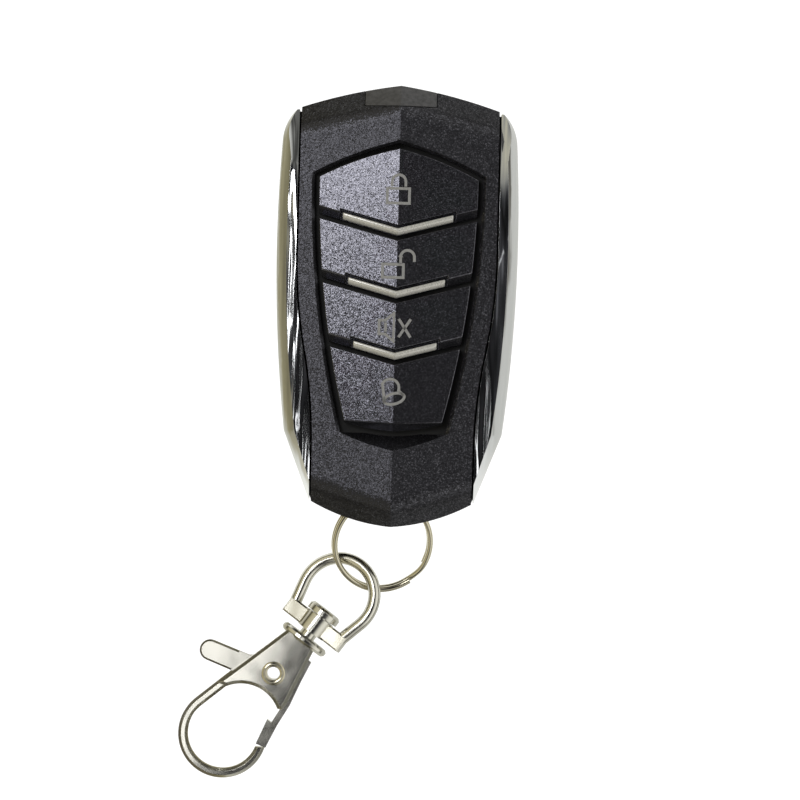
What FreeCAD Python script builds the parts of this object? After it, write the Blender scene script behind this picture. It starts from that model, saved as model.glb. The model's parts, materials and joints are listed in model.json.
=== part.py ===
import FreeCAD, Part
import math
import os

import Sketcher

# Car alarm remote: a two-shell key fob with four keys, chromed side trims, a split ring
# and a swivel lobster clasp. It lies on its back: +Y points to the lamp end, +X to the
# right seen from the keys, +Z out of the key face, and the origin is the middle of the back.

V = FreeCAD.Vector

SIZES = {
    # Shell
    "fob_top": 33.95,
    "fob_bottom": 34.0,
    "shoulder_y": 30.4,
    "hip_y": 30.3,
    "half_low": 12.35,
    "half_high": 15.25,
    "waist_y": 22.0,
    "swell_y": 8.0,
    "top_sagitta": 0.4,
    "bottom_sagitta": 0.72,
    "split_z": 7.4,
    "ridge_z": 13.2,
    "roof_slope": 0.133,
    "bevel_width_top": 3.4,
    "bevel_width_bottom": 2.7,
    "bevel_slope": 1.0,
    "wall": 1.5,
    "floor": 1.6,
    "back_round": 1.2,
    # Side trims
    "flange_z": 2.6,
    "flange_inset": 0.5,
    "trim_gap": 0.3,
    "trim_drop": 0.25,
    "trim_tip_out": 0.85,
    "trim_tip_y": 30.0,
    "trim_high_out": 2.9,
    "trim_high_y": 25.4,
    "trim_low_out": 4.5,
    "trim_low_y": 19.5,
    "trim_end_out": 0.4,
    "trim_end_y": 30.1,
    "trim_sagitta": 1.05,
    "trim_corner": 0.45,
    "trim_under": 0.7,
    "trim_ridge": 1.7,
    "trim_belly_z": 5.4,
    "trim_top_drop": 2.3,
    "trim_root_x": 4.0,
    "trim_scoop_y": 23.6,
    "trim_scoop_slope": 0.32,
    "trim_scoop_lean": -0.12,
    # Key field
    "key_rise": 0.3,
    "key_top_inset": 3.05,
    "key_top_y": 19.6,
    "key_apex_y": 24.1,
    "key_low_inset": 4.85,
    "key_low_y": 18.0,
    "key_low_apex": 19.3,
    "key_sagitta": 1.25,
    "key_gap": 0.75,
    "well_rim": 0.45,
    "well_run_out": 2.2,
    "vee_slope": 0.268,
    "vee_gap": 0.62,
    "vee_lock": 10.65,
    "vee_unlock": 1.02,
    "vee_mute": -8.45,
    "key_travel": 0.3,
    "bar_width": 1.1,
    "bar_frame": 0.45,
    "bar_share": 0.877,
    "bar_margin": 1.22,
    "bar_up": 0.15,
    "bar_seat_z": 11.0,
    "bar_drop": 0.1,
    # Layers inside
    "mat_z": 9.0,
    "mat": 0.8,
    "mat_margin": 0.5,
    "nub_dia": 3.0,
    "board_z": 5.8,
    "board": 1.0,
    "board_inset": 2.2,
    "board_top_y": 27.0,
    "board_bottom_y": 22.0,
    "switch_side": 5.2,
    "switch_height": 1.5,
    "switch_floor": 0.6,
    "switch_up": 0.6,
    "plunger_dia": 2.6,
    "cell_dia": 20.0,
    "cell": 3.2,
    "cell_y": 4.0,
    "clip_thick": 0.3,
    "clip_width": 7.0,
    "chip_width": 4.0,
    "chip_length": 5.0,
    "chip_y": 10.5,
    "resonator_dia": 4.6,
    "resonator_y": 11.0,
    "antenna_dia": 2.0,
    "antenna_length": 3.8,
    "antenna_y": 9.0,
    "screw_dia": 1.6,
    "screw_head_dia": 3.2,
    "screw_head": 1.1,
    "screw_bite": 3.0,
    "pillar_dia": 4.2,
    "pillar_inset": 4.6,
    "pillar_top_inset": 3.1,
    "pillar_low_inset": 3.0,
    "board_screw_inset": 5.7,
    "board_screw_top": 8.0,
    "board_screw_low": 2.6,
    "window_half": 5.5,
    "window_y": 30.7,
    "window_z": 8.0,
    "led_dia": 3.0,
    # Ring slot and post
    "slot_half": 10.3,
    "slot_deep": 28.2,
    "slot_low_z": 1.8,
    "post_dia": 2.4,
    "post_y": 31.7,
    "post_low_z": 0.9,
    "post_high_z": 9.1,
    # Split ring
    "ring_mean": 7.48,
    "ring_wire": 0.86,
    "ring_pitch": 0.92,
    "ring_x": -1.18,
    "ring_y": -36.6,
    "ring_z": 3.5,
    "ring_slope_x": -0.172,
    "ring_slope_y": 0.302,
    "ring_turn_angle": -40.0,
    # Swivel bail and clasp: the bail hangs on the ring at link_angle
    "link_angle": 232.43,
    "link_slack": 2.67,
    "swivel_z": 2.9,
    "heading_angle": 234.0,
    "bail_roll_angle": 17.0,
    "bail_wire": 1.9,
    "bail_arch": 5.85,
    "bail_arch_v": 7.0,
    "bail_foot": 4.6,
    "bail_bar": 2.6,
    "bail_bar_thick": 2.0,
    "eye_dia": 4.7,
    "neck_dia": 2.6,
    "swivel_play": 0.08,
    "head_dia": 5.4,
    "head": 1.3,
    "collar_v": 1.0,
    "collar": 1.2,
    "collar_wide": 8.0,
    "collar_high": 5.6,
    "clasp_unit": 1.0,
    "body_thick": 4.6,
    "hook_thick": 3.0,
    "hook_outer": 6.9,
    "hook_inner": 5.4,
    "hook_u": -1.2,
    "hook_v": 20.8,
    "rivet_u": -0.6,
    "rivet_v": 8.6,
    "rivet_dia": 2.9,
    "rivet_bore": 2.0,
    "rivet_head": 3.7,
    "rivet_roll": 0.35,
    "gate_thick": 1.2,
    "gate_play": 0.15,
    "gate_wire": 0.24,
    "gate_coil": 0.45,
    "gate_pitch": 0.8,
    "gate_turns": 3.0,
}

doc = FreeCAD.newDocument("car_alarm_remote")
sheet = doc.addObject("Spreadsheet::Sheet", "Dims")
for row, (alias, value) in enumerate(SIZES.items(), start=1):
    sheet.set(f"A{row}", alias)
    sheet.set(f"B{row}", str(value))
    sheet.setAlias(f"B{row}", alias)
doc.recompute()


class D:
    """Sizes read back from the sheet."""


for alias in SIZES:
    setattr(D, alias, float(sheet.get(alias)))

# Widths that follow the case: the trims stand out from it and the key field keeps in from it
D.trim_tip_x = D.half_high + D.trim_tip_out
D.trim_high_x = D.half_high + D.trim_high_out
D.trim_low_x = D.half_low + D.trim_low_out
D.trim_end_x = D.half_low + D.trim_end_out
D.key_top_x = D.half_high - D.key_top_inset
D.key_low_x = D.half_low - D.key_low_inset

# Play between pieces that are put together, and a length that passes every outline
FITS = 0.1
REACH = 1.4 * D.fob_bottom

parts = []


def keep(item, label):
    """Names an object as a piece of the remote."""
    item.Label = label
    parts.append(item)
    return item


def plane_of(body, role):
    return next(f for f in body.Origin.OriginFeatures if f.Role == role)


def edge_of(kind, start, via, end):
    a = V(start[0], start[1], 0)
    b = V(end[0], end[1], 0)
    if kind == "line":
        return Part.LineSegment(a, b)
    return Part.Arc(a, V(via[0], via[1], 0), b)


def join_ends(sketch, count):
    """Ties each drawn edge to the next one at the point that they share."""
    for i in range(count):
        j = (i + 1) % count
        for pa in (1, 2):
            for pb in (1, 2):
                if i != j and (sketch.getPoint(i, pa) - sketch.getPoint(j, pb)).Length < 1e-6:
                    sketch.addConstraint(Sketcher.Constraint("Coincident", i, pa, j, pb))
                    break


def sketch_path(body, name, path, role="XY_Plane", height=None):
    """A closed outline: path is a start point and then lines and arcs."""
    sketch = body.newObject("Sketcher::SketchObject", name)
    sketch.AttachmentSupport = [(plane_of(body, role), "")]
    sketch.MapMode = "FlatFace"
    if height is not None:
        sketch.setExpression("AttachmentOffset.Base.z", height)
    here = path[0]
    for kind, via, end in path[1:]:
        sketch.addGeometry(edge_of(kind, here, via, end), False)
        here = end
    join_ends(sketch, len(path) - 1)
    return sketch


def sketch_circle(body, name, centre, diameter, role="XY_Plane", height=None):
    """A circle whose diameter follows the sheet."""
    sketch = body.newObject("Sketcher::SketchObject", name)
    sketch.AttachmentSupport = [(plane_of(body, role), "")]
    sketch.MapMode = "FlatFace"
    if height is not None:
        sketch.setExpression("AttachmentOffset.Base.z", height)
    sketch.addGeometry(Part.Circle(V(centre[0], centre[1], 0), V(0, 0, 1), 1.0), False)
    sketch.addConstraint(Sketcher.Constraint("Diameter", 0, 2.0))
    sketch.setExpression("Constraints[0]", diameter)
    return sketch


def pad(body, sketch, length, name="Pad"):
    feature = body.newObject("PartDesign::Pad", name)
    feature.Profile = sketch
    feature.setExpression("Length", length)
    body.Tip = feature
    return feature


def new_body(name):
    return doc.addObject("PartDesign::Body", name)


def prism(name, path, low, high, role="XY_Plane"):
    """A padded outline between two levels given as sheet formulas."""
    body = new_body(name)
    sketch = sketch_path(body, name + "_outline", path, role, low)
    pad(body, sketch, f"({high}) - ({low})")
    return body


def rod(name, centre, diameter, low, high, role="XY_Plane"):
    """A round bar between two levels given as sheet formulas."""
    body = new_body(name)
    sketch = sketch_circle(body, name + "_circle", centre, diameter, role, low)
    pad(body, sketch, f"({high}) - ({low})")
    return body


def cut(name, base, tools):
    result = base
    for number, tool in enumerate(tools, start=1):
        step = doc.addObject("Part::Cut", f"{name}_cut_{number}")
        step.Base = result
        step.Tool = tool
        result = step
    return result


def fuse(name, shapes):
    result = doc.addObject("Part::MultiFuse", name)
    result.Shapes = shapes
    result.Refine = True
    return result


def common(name, a, b):
    result = doc.addObject("Part::MultiCommon", name)
    result.Shapes = [a, b]
    return result


def slab(name, point, normal):
    """A block that lies above a sloping plane and cuts away what is over it."""
    block = doc.addObject("Part::Box", name)
    block.Length = 2 * REACH
    block.Width = 2 * REACH
    block.Height = 2 * D.ridge_z
    turn = FreeCAD.Rotation(V(0, 0, 1), V(*normal))
    centred = FreeCAD.Placement(V(-REACH, -REACH, 0), FreeCAD.Rotation())
    block.Placement = FreeCAD.Placement(V(*point), turn).multiply(centred)
    return block


def side_word(side):
    return "left" if side < 0 else "right"


def edges_where(shape, test):
    """Numbers of the edges that pass a test at points along them."""
    found = []
    for number, edge in enumerate(shape.Edges, start=1):
        first, last = edge.ParameterRange
        places = [edge.valueAt(first + (last - first) * share) for share in (0.1, 0.35, 0.65, 0.9)]
        if all(test(place) for place in places):
            found.append(number)
    return found


def chamfer(name, base, size, test):
    """A chamfer of one size on the edges that pass a test."""
    doc.recompute()
    feature = doc.addObject("Part::Chamfer", name)
    feature.Base = base
    feature.Edges = [(number, size, size) for number in edges_where(base.Shape, test)]
    return feature


def ruled_form(name, levels):
    """A straight-sided loft through outlines, each given with its height as a sheet formula."""
    body = new_body(name)
    sketches = [sketch_path(body, f"{name}_level_{number}", path, height=height)
                for number, (height, path) in enumerate(levels)]
    loft = body.newObject("PartDesign::AdditiveLoft", "Form")
    loft.Profile = sketches[0]
    loft.Sections = sketches[1:]
    loft.Ruled = True
    body.Tip = loft
    return body


def bulge(a, b, sagitta):
    """The middle point of an arc from a to b that swells to the right of its chord."""
    dx = b[0] - a[0]
    dy = b[1] - a[1]
    size = math.hypot(dx, dy)
    return ((a[0] + b[0]) / 2 + sagitta * dy / size, (a[1] + b[1]) / 2 - sagitta * dx / size)


def both_sides(right):
    """Closes an outline given for its right half, from the bottom apex to the top one."""
    points = [right[0]] + [end for kind, via, end in right[1:]]
    path = list(right)
    for (kind, via, end), start in zip(reversed(right[1:]), reversed(points[:-1])):
        path.append((kind, None if via is None else (-via[0], via[1]), (-start[0], start[1])))
    return path


def rectangle(x0, y0, x1, y1):
    return [(x0, y0), ("line", None, (x1, y0)), ("line", None, (x1, y1)), ("line", None, (x0, y1)),
            ("line", None, (x0, y0))]


def polygon(points):
    return [points[0]] + [("line", None, p) for p in points[1:]] + [("line", None, points[0])]


# Outlines of the fob

def side_curve(low, high, y0, y1):
    """The waist: two equal arcs from (low, y0) to (high, y1), upright at both ends."""
    rise = high - low
    span = y1 - y0
    radius = (span ** 2 + rise ** 2) / (4 * rise)
    middle = ((low + high) / 2, (y0 + y1) / 2)
    half_turn = math.asin(span / 2 / radius) / 2
    first = (low + radius * (1 - math.cos(half_turn)), y0 + radius * math.sin(half_turn))
    second = (high - radius * (1 - math.cos(half_turn)), y1 - radius * math.sin(half_turn))
    return [("arc", first, middle), ("arc", second, (high, y1))]


def case_outline(inset=0.0):
    bottom = (0.0, -D.fob_bottom + inset)
    hip = (D.half_low - inset, -D.hip_y + inset)
    shoulder = (D.half_high - inset, D.shoulder_y - inset)
    top = (0.0, D.fob_top - inset)
    right = [bottom, ("arc", bulge(bottom, hip, D.bottom_sagitta), hip),
             ("line", None, (hip[0], -D.waist_y))]
    right += side_curve(hip[0], shoulder[0], -D.waist_y, D.swell_y)
    right += [("line", None, shoulder), ("arc", bulge(shoulder, top, D.top_sagitta), top)]
    return both_sides(right)


def trim_edge(inset):
    """The outer edge of the right trim, from its low point up to its tip."""
    low_end = (D.trim_end_x - inset * 0.6, -D.trim_end_y)
    low = (D.trim_low_x - inset, -D.trim_low_y)
    high = (D.trim_high_x - inset, D.trim_high_y - inset * 0.4)
    tip = (D.trim_tip_x - inset * 0.4, D.trim_tip_y)
    return low_end, [("line", None, low), ("arc", bulge(low, high, D.trim_sagitta), high),
                     ("arc", bulge(high, tip, D.trim_corner), tip)]


def full_outline(inset=0.0):
    """The back shell's foot: the case and the trims together."""
    bottom = (0.0, -D.fob_bottom + inset)
    hip = (D.half_low, -D.hip_y + inset)
    shoulder = (D.half_high, D.shoulder_y - inset)
    top = (0.0, D.fob_top - inset)
    start, edge = trim_edge(inset)
    right = [bottom, ("arc", bulge(bottom, hip, D.bottom_sagitta), hip), ("line", None, start)]
    right += edge
    right += [("line", None, shoulder), ("arc", bulge(shoulder, top, D.top_sagitta), top)]
    return both_sides(right)


# Sloping planes of the front

def roof_slabs(name, ridge):
    slabs = []
    for side in (-1, 1):
        slabs.append(slab(f"{name}_roof_{side_word(side)}", (0, 0, ridge), (side * D.roof_slope, 0, 1)))
    return slabs


def end_slabs(name, end, apex, drop, width, shoulder_x, shoulder_y):
    """The bevel along one end, a fixed width in from the end's slanting edge."""
    slabs = []
    edge_slope = abs(apex - shoulder_y) / shoulder_x
    cross = D.roof_slope + D.bevel_slope * edge_slope
    for side in (-1, 1):
        normal = (side * cross, end * D.bevel_slope, 1)
        crest = (0, end * (apex - width), D.ridge_z - drop)
        slabs.append(slab(f"{name}_bevel_{side_word(side)}", crest, normal))
    return slabs


def front_slabs(name, drop):
    slabs = roof_slabs(name, D.ridge_z - drop)
    slabs += end_slabs(name + "_top", 1, D.fob_top, drop, D.bevel_width_top, D.half_high, D.shoulder_y)
    slabs += end_slabs(name + "_low", -1, D.fob_bottom, drop, D.bevel_width_bottom, D.half_low, D.hip_y)
    return slabs


# Key field outlines

def key_field(grow=0.0, low_more=0.0):
    bottom = (0.0, -D.key_low_apex - grow - low_more)
    low = (D.key_low_x + grow * 0.75, -D.key_low_y - grow - low_more * 0.4)
    high = (D.key_top_x + grow, D.key_top_y + grow * 0.4)
    top = (0.0, D.key_apex_y + grow * 1.2)
    right = [bottom, ("arc", bulge(bottom, low, 0.25), low),
             ("arc", bulge(low, high, D.key_sagitta), high), ("arc", bulge(high, top, 0.45), top)]
    return both_sides(right)


def vee(centre_y, x):
    return centre_y + D.vee_slope * abs(x)


def vee_band(low_centre, high_centre):
    """A band across the key field between two V lines."""
    return polygon([(0, low_centre), (REACH, vee(low_centre, REACH)), (REACH, vee(high_centre, REACH)),
                    (0, high_centre), (-REACH, vee(high_centre, REACH)), (-REACH, vee(low_centre, REACH))])


def vee_strip(low_centre, height, half):
    end = vee(low_centre, half)
    return polygon([(0, low_centre), (half, end), (half, end + height), (0, low_centre + height),
                    (-half, end + height), (-half, end)])


def key_rows():
    """Each key's V lines on the centre line, its bar and the place of its switch."""
    rows = {}
    high = D.key_apex_y
    lows = {"lock": D.vee_lock, "unlock": D.vee_unlock, "mute": D.vee_mute, "bell": -D.key_low_apex}
    for word, low in lows.items():
        share = (low + D.key_low_y) / (D.key_top_y + D.key_low_y)
        half = D.key_low_x + (D.key_top_x - D.key_low_x) * share
        rows[word] = {"low": low, "high": high, "bar": low + D.bar_up,
                      "bar_half": D.bar_share * half - D.bar_margin,
                      "switch_y": (low + high) / 2 + D.switch_up}
        high = low - D.vee_gap
    return rows


KEYS = key_rows()
BARRED = ("lock", "unlock", "mute")

# Levels as sheet formulas
TOP = "Dims.ridge_z + 2"
BOARD_TOP = "Dims.board_z + Dims.board"


def four_places(top_x, top_y, low_x, low_y):
    return [(top_x, top_y), (-top_x, top_y), (low_x, low_y), (-low_x, low_y)]


PILLARS = four_places(D.half_high - D.pillar_inset, D.shoulder_y - D.pillar_top_inset,
                      D.half_low - D.pillar_inset, -D.slot_deep + D.pillar_low_inset)
BOARD_SCREWS = four_places(D.half_high - D.board_screw_inset, D.board_top_y - D.board_screw_top,
                           D.half_low - D.board_screw_inset, -D.board_bottom_y + D.board_screw_low)


def slot_tool(name):
    """The wide mouth in the lower end that the split ring runs in."""
    path = rectangle(-D.slot_half, -REACH, D.slot_half, -D.slot_deep)
    return prism(name, path, "Dims.slot_low_z", "Dims.split_z")


# The lower end, which stays solid round the ring's slot
END_AREA = rectangle(-REACH, -REACH, REACH, -D.slot_deep + D.wall)

# The back's rounded edge: levels, and how far each lies inside the foot's outline
BACK_EDGE = [("0", D.back_round), ("Dims.back_round * 0.14", D.back_round * 0.5),
             ("Dims.back_round * 0.5", D.back_round * 0.14), ("Dims.back_round", 0.0), ("Dims.flange_z", 0.0)]


def lower_case():
    levels = [(height, full_outline(D.flange_inset + inset)) for height, inset in BACK_EDGE]
    foot = ruled_form("lower_foot", levels)
    shell = prism("lower_shell", case_outline(), "Dims.flange_z", "Dims.split_z")
    outer = fuse("lower_outer", [foot, shell])
    hollow = prism("lower_hollow", case_outline(D.wall), "Dims.floor", "Dims.split_z + 1")
    end_block = prism("lower_end_block", END_AREA, "Dims.floor - 1", "Dims.split_z + 2")
    room = cut("lower_room", hollow, [end_block])
    shelled = cut("lower_shelled", outer, [room])
    posts = [rod(f"lower_pillar_{i}", p, "Dims.pillar_dia", "Dims.floor - 0.5", "Dims.split_z")
             for i, p in enumerate(PILLARS)]
    posts += [rod(f"board_pillar_{i}", p, "Dims.pillar_dia - 0.8", "Dims.floor - 0.5", "Dims.board_z")
              for i, p in enumerate(BOARD_SCREWS)]
    solid = fuse("lower_with_pillars", [shelled] + posts)
    tools = [slot_tool("lower_slot")]
    for i, p in enumerate(PILLARS):
        tools.append(rod(f"lower_screw_way_{i}", p, f"Dims.screw_dia + {2 * FITS}", "-1",
                         "Dims.split_z + 1"))
        tools.append(rod(f"lower_screw_sink_{i}", p, f"Dims.screw_head_dia + {2 * FITS}", "-1",
                         "Dims.screw_head + 0.2"))
    for i, p in enumerate(BOARD_SCREWS):
        tools.append(rod(f"board_screw_way_{i}", p, f"Dims.screw_dia - 0.2 + {FITS}",
                         "Dims.board_z - Dims.screw_bite - 0.2", "Dims.board_z + 1"))
    tools.append(rod("lower_post_seat", (0, -D.post_y), f"Dims.post_dia + {FITS}", "Dims.post_low_z",
                     "Dims.slot_low_z + 1"))
    return keep(cut("lower_case", solid, tools), "lower_case")


def upper_case():
    block = prism("upper_block", case_outline(), "Dims.split_z", TOP)
    outer = cut("upper_outer", block, front_slabs("upper", 0.0))
    hollow_block = prism("upper_hollow_block", case_outline(D.wall), "Dims.split_z - 1", TOP)
    end_block = prism("upper_end_block", END_AREA, "Dims.split_z - 2", TOP)
    hollow = cut("upper_hollow", hollow_block, [end_block] + front_slabs("upper_inner", D.wall))
    shelled = cut("upper_shelled", outer, [hollow])
    collar_block = prism("upper_collar_block", key_field(D.key_gap + 1.1, D.well_run_out * 0.6),
                         "Dims.mat_z + Dims.mat", TOP)
    collar = common("upper_collar", collar_block, outer)
    pillars = []
    for i, p in enumerate(PILLARS):
        post = rod(f"upper_pillar_{i}", p, "Dims.pillar_dia", "Dims.split_z", TOP)
        pillars.append(common(f"upper_pillar_cut_{i}", post, outer))
    solid = fuse("upper_solid", [shelled, collar] + pillars)
    well = prism("upper_well", key_field(D.key_gap), "Dims.mat_z - 1", TOP)
    run_out = prism("upper_run_out", key_field(D.key_gap, D.well_run_out), "Dims.mat_z + Dims.mat", TOP)
    slope_z = D.mat_z + D.mat + 0.4
    low_cut = slab("run_out_slope", (0, -D.key_low_apex - D.key_gap, slope_z), (0, 0.9, 1))
    ramp = common("upper_ramp", run_out, low_cut)
    tools = [well, ramp]
    way = rectangle(-D.window_half - FITS, D.window_y - FITS, D.window_half + FITS, REACH)
    window = prism("window_way", way, f"Dims.window_z - {FITS}", TOP)
    tools.append(window)
    for i, p in enumerate(PILLARS):
        tools.append(rod(f"upper_screw_way_{i}", p, f"Dims.screw_dia + {FITS}", "Dims.split_z - 1",
                         "Dims.split_z + 2.6"))
    tools.append(rod("upper_post_seat", (0, -D.post_y), f"Dims.post_dia + {FITS}", "Dims.split_z - 1",
                     "Dims.post_high_z"))
    opened = cut("upper_opened", solid, tools)

    def on_rim(place):
        """The edges round the key well, where its walls meet the roof."""
        on_roof = abs(place.z - D.ridge_z + D.roof_slope * abs(place.x)) < 0.01
        in_width = abs(place.x) < D.key_top_x + 3 * D.key_gap
        return on_roof and in_width and -D.key_low_y - D.key_gap < place.y < D.window_y - 1

    return keep(chamfer("upper_rimmed", opened, D.well_rim, on_rim), "upper_case")


def led_window():
    area = rectangle(-D.window_half, D.window_y, D.window_half, REACH)
    block = prism("window_block", area, "Dims.window_z", TOP)
    form = prism("window_form", case_outline(), "Dims.split_z", TOP)
    outer = cut("window_outer", form, front_slabs("window", 0.0))
    return keep(common("led_window", block, outer), "led_window")


def mirrored(path, side):
    """The path as drawn, or its mirror image for the left side."""
    return [(side * path[0][0], path[0][1])] + [
        (kind, None if via is None else (side * via[0], via[1]), (side * end[0], end[1]))
        for kind, via, end in path[1:]]


def trim(side):
    """One chromed strip: a barrelled outer face, a top facet in line with the roof, a scooped tip."""
    name = "trim_" + side_word(side)
    body = new_body(name + "_form")
    rise = (D.ridge_z - D.trim_top_drop - D.trim_belly_z) / 2
    levels = [("Dims.flange_z", D.trim_under), ("Dims.trim_belly_z", 0.0),
              (f"Dims.trim_belly_z + {rise}", D.trim_ridge / 4),
              (f"Dims.trim_belly_z + {2 * rise}", D.trim_ridge)]
    sketches = []
    for number, (height, inset) in enumerate(levels):
        start, edge = trim_edge(inset)
        path = [start] + edge + [("line", None, (D.trim_root_x, D.trim_tip_y)),
                                 ("line", None, (D.trim_root_x, -D.trim_end_y)), ("line", None, start)]
        sketches.append(sketch_path(body, f"{name}_level_{number}", mirrored(path, side), height=height))
    loft = body.newObject("PartDesign::AdditiveLoft", "Barrel")
    loft.Profile = sketches[0]
    loft.Sections = sketches[1:]
    loft.Ruled = False
    body.Tip = loft
    inner = prism(name + "_inner", case_outline(-D.trim_gap), "Dims.flange_z - 1", TOP)
    crest_z = D.ridge_z - D.trim_drop - D.roof_slope * D.trim_high_x
    scoop = slab(name + "_scoop", (side * D.trim_high_x, D.trim_scoop_y, crest_z),
                 (side * D.trim_scoop_lean, D.trim_scoop_slope, 1))
    return keep(cut(name, body, [inner] + roof_slabs(name, D.ridge_z - D.trim_drop) + [scoop]), name)


def key_cap(word):
    """A key between two V lines, with bevelled lower corners or, on the last one, a bevelled foot."""
    key = KEYS[word]
    name = "button_" + word
    top = D.ridge_z + D.key_rise
    spare = D.key_gap * 6
    low = key["low"] if word in BARRED else key["low"] - spare
    high = key["high"] + spare if word == "lock" else key["high"]
    field = prism(name + "_field", key_field(), "Dims.mat_z + Dims.mat", "Dims.ridge_z + 3")
    band = prism(name + "_band", vee_band(low, high), "Dims.mat_z", "Dims.ridge_z + 4")
    block = common(name + "_block", field, band)
    tools = roof_slabs(name, top)
    if word in BARRED:
        for side in (-1, 1):
            tools.append(slab(f"{name}_ledge_{side_word(side)}", (0, key["low"] + 1.25, top),
                              (side * (D.roof_slope + 0.9 * D.vee_slope), -0.9, 1)))
        notch = vee_strip(key["bar"] - spare, D.bar_width + D.bar_frame + spare,
                          key["bar_half"] + D.bar_frame)
        tools.append(prism(name + "_notch", notch, "Dims.bar_seat_z", "Dims.ridge_z + 4"))
    else:
        for side in (-1, 1):
            tools.append(slab(f"{name}_foot_{side_word(side)}", (0, -D.key_low_apex + 1.2, top),
                              (side * 0.2, -1.4, 1)))
    return keep(cut(name, block, tools), name)


def chevron_bar(word):
    """A chromed V bar in the notch at a key's lower edge, its lower half bevelled."""
    key = KEYS[word]
    name = "bar_" + word
    top = D.ridge_z + D.key_rise - D.bar_drop
    strip = prism(name + "_strip", vee_strip(key["bar"], D.bar_width, key["bar_half"]), "Dims.bar_seat_z",
                  "Dims.ridge_z + 3")
    tools = roof_slabs(name, top)
    for side in (-1, 1):
        tools.append(slab(f"{name}_face_{side_word(side)}", (0, key["bar"] + D.bar_width / 2, top),
                          (side * (D.roof_slope + 0.8 * D.vee_slope), -0.8, 1)))
    return keep(cut(name, strip, tools), name)


def keypad_mat():
    sheet_body = prism("mat_sheet", key_field(D.key_gap + D.mat_margin, D.well_run_out * 0.3), "Dims.mat_z",
                       "Dims.mat_z + Dims.mat")
    nub_low = BOARD_TOP + " + Dims.switch_height + Dims.key_travel + 0.2"
    nubs = [rod(f"mat_nub_{word}", (0, key["switch_y"]), "Dims.nub_dia", nub_low, "Dims.mat_z + 0.2")
            for word, key in KEYS.items()]
    return keep(fuse("keypad_mat", [sheet_body] + nubs), "keypad_mat")


def circuit_board():
    plate = prism("board_plate", case_outline(D.board_inset), "Dims.board_z", "Dims.board_z + Dims.board")
    low = "Dims.board_z - 1"
    high = "Dims.board_z + 3"
    tools = [prism("board_top_end", rectangle(-REACH, D.board_top_y, REACH, REACH), low, high),
             prism("board_low_end", rectangle(-REACH, -REACH, REACH, -D.board_bottom_y), low, high)]
    for i, p in enumerate(BOARD_SCREWS):
        tools.append(rod(f"board_hole_{i}", p, f"Dims.screw_dia - 0.2 + {2 * FITS}", low, high))
    for i, p in enumerate(PILLARS[:2]):
        tools.append(rod(f"board_corner_{i}", p, "Dims.pillar_dia + 0.8", low, high))
    return keep(cut("circuit_board", plate, tools), "circuit_board")


def tact_switch(word):
    y = KEYS[word]["switch_y"]
    half = D.switch_side / 2
    box = prism(f"switch_{word}_box", rectangle(-half, y - half, half, y + half), BOARD_TOP,
                BOARD_TOP + " + Dims.switch_height")
    bore = rod(f"switch_{word}_bore", (0, y), f"Dims.plunger_dia + {FITS}",
               BOARD_TOP + " + Dims.switch_floor", BOARD_TOP + " + Dims.switch_height + 1")
    keep(cut(f"switch_{word}", box, [bore]), f"switch_{word}")
    plunger = rod(f"plunger_{word}_rod", (0, y), "Dims.plunger_dia",
                  BOARD_TOP + " + Dims.switch_floor + Dims.key_travel + 0.1",
                  BOARD_TOP + " + Dims.switch_height + Dims.key_travel + 0.2")
    keep(plunger, f"plunger_{word}")


def screws():
    case_set = []
    for i, p in enumerate(PILLARS):
        head = rod(f"case_screw_head_{i}", p, "Dims.screw_head_dia", "0.2", "0.2 + Dims.screw_head")
        shank = rod(f"case_screw_shank_{i}", p, "Dims.screw_dia", "0.2", "Dims.split_z + 2.4")
        case_set.append(fuse(f"case_screw_{i}", [head, shank]))
    board_set = []
    for i, p in enumerate(BOARD_SCREWS):
        head = rod(f"board_screw_head_{i}", p, "Dims.screw_head_dia - 0.4", BOARD_TOP,
                   BOARD_TOP + " + Dims.screw_head - 0.1")
        shank = rod(f"board_screw_shank_{i}", p, "Dims.screw_dia - 0.2", "Dims.board_z - Dims.screw_bite",
                    BOARD_TOP + " + 0.2")
        board_set.append(fuse(f"board_screw_{i}", [head, shank]))
    for label, group in (("case_screws", case_set), ("board_screws", board_set)):
        compound = doc.addObject("Part::Compound", label)
        compound.Links = group
        keep(compound, label)


def coin_cell():
    low = "Dims.board_z - 0.5 - Dims.cell"
    can = rod("cell_can", (0, D.cell_y), "Dims.cell_dia", low, low + " + Dims.cell - 0.5")
    lid = rod("cell_lid", (0, D.cell_y), "Dims.cell_dia - 2.4", low + " + Dims.cell - 0.7",
              low + " + Dims.cell")
    keep(fuse("coin_cell", [can, lid]), "coin_cell")
    reach = D.cell_dia / 2 + 0.3
    half = D.clip_width / 2
    strip = rectangle(-reach - D.clip_thick, D.cell_y - half, reach + D.clip_thick, D.cell_y + half)
    under = prism("clip_under", strip, low + " - Dims.clip_thick", low)
    legs = [prism(f"clip_leg_{i}", rectangle(min(a, b), D.cell_y - half, max(a, b), D.cell_y + half),
                  low + " - Dims.clip_thick", "Dims.board_z")
            for i, (a, b) in enumerate([(reach, reach + D.clip_thick), (-reach, -reach - D.clip_thick)])]
    keep(fuse("cell_clip", [under] + legs), "cell_clip")
    pad_plate = rod("contact_plate", (0, D.cell_y), "6", "Dims.board_z - 0.2", "Dims.board_z")
    tongue = rod("contact_tongue", (0, D.cell_y), "3", "Dims.board_z - 0.5", "Dims.board_z - 0.1")
    keep(fuse("cell_contact", [pad_plate, tongue]), "cell_contact")


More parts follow.
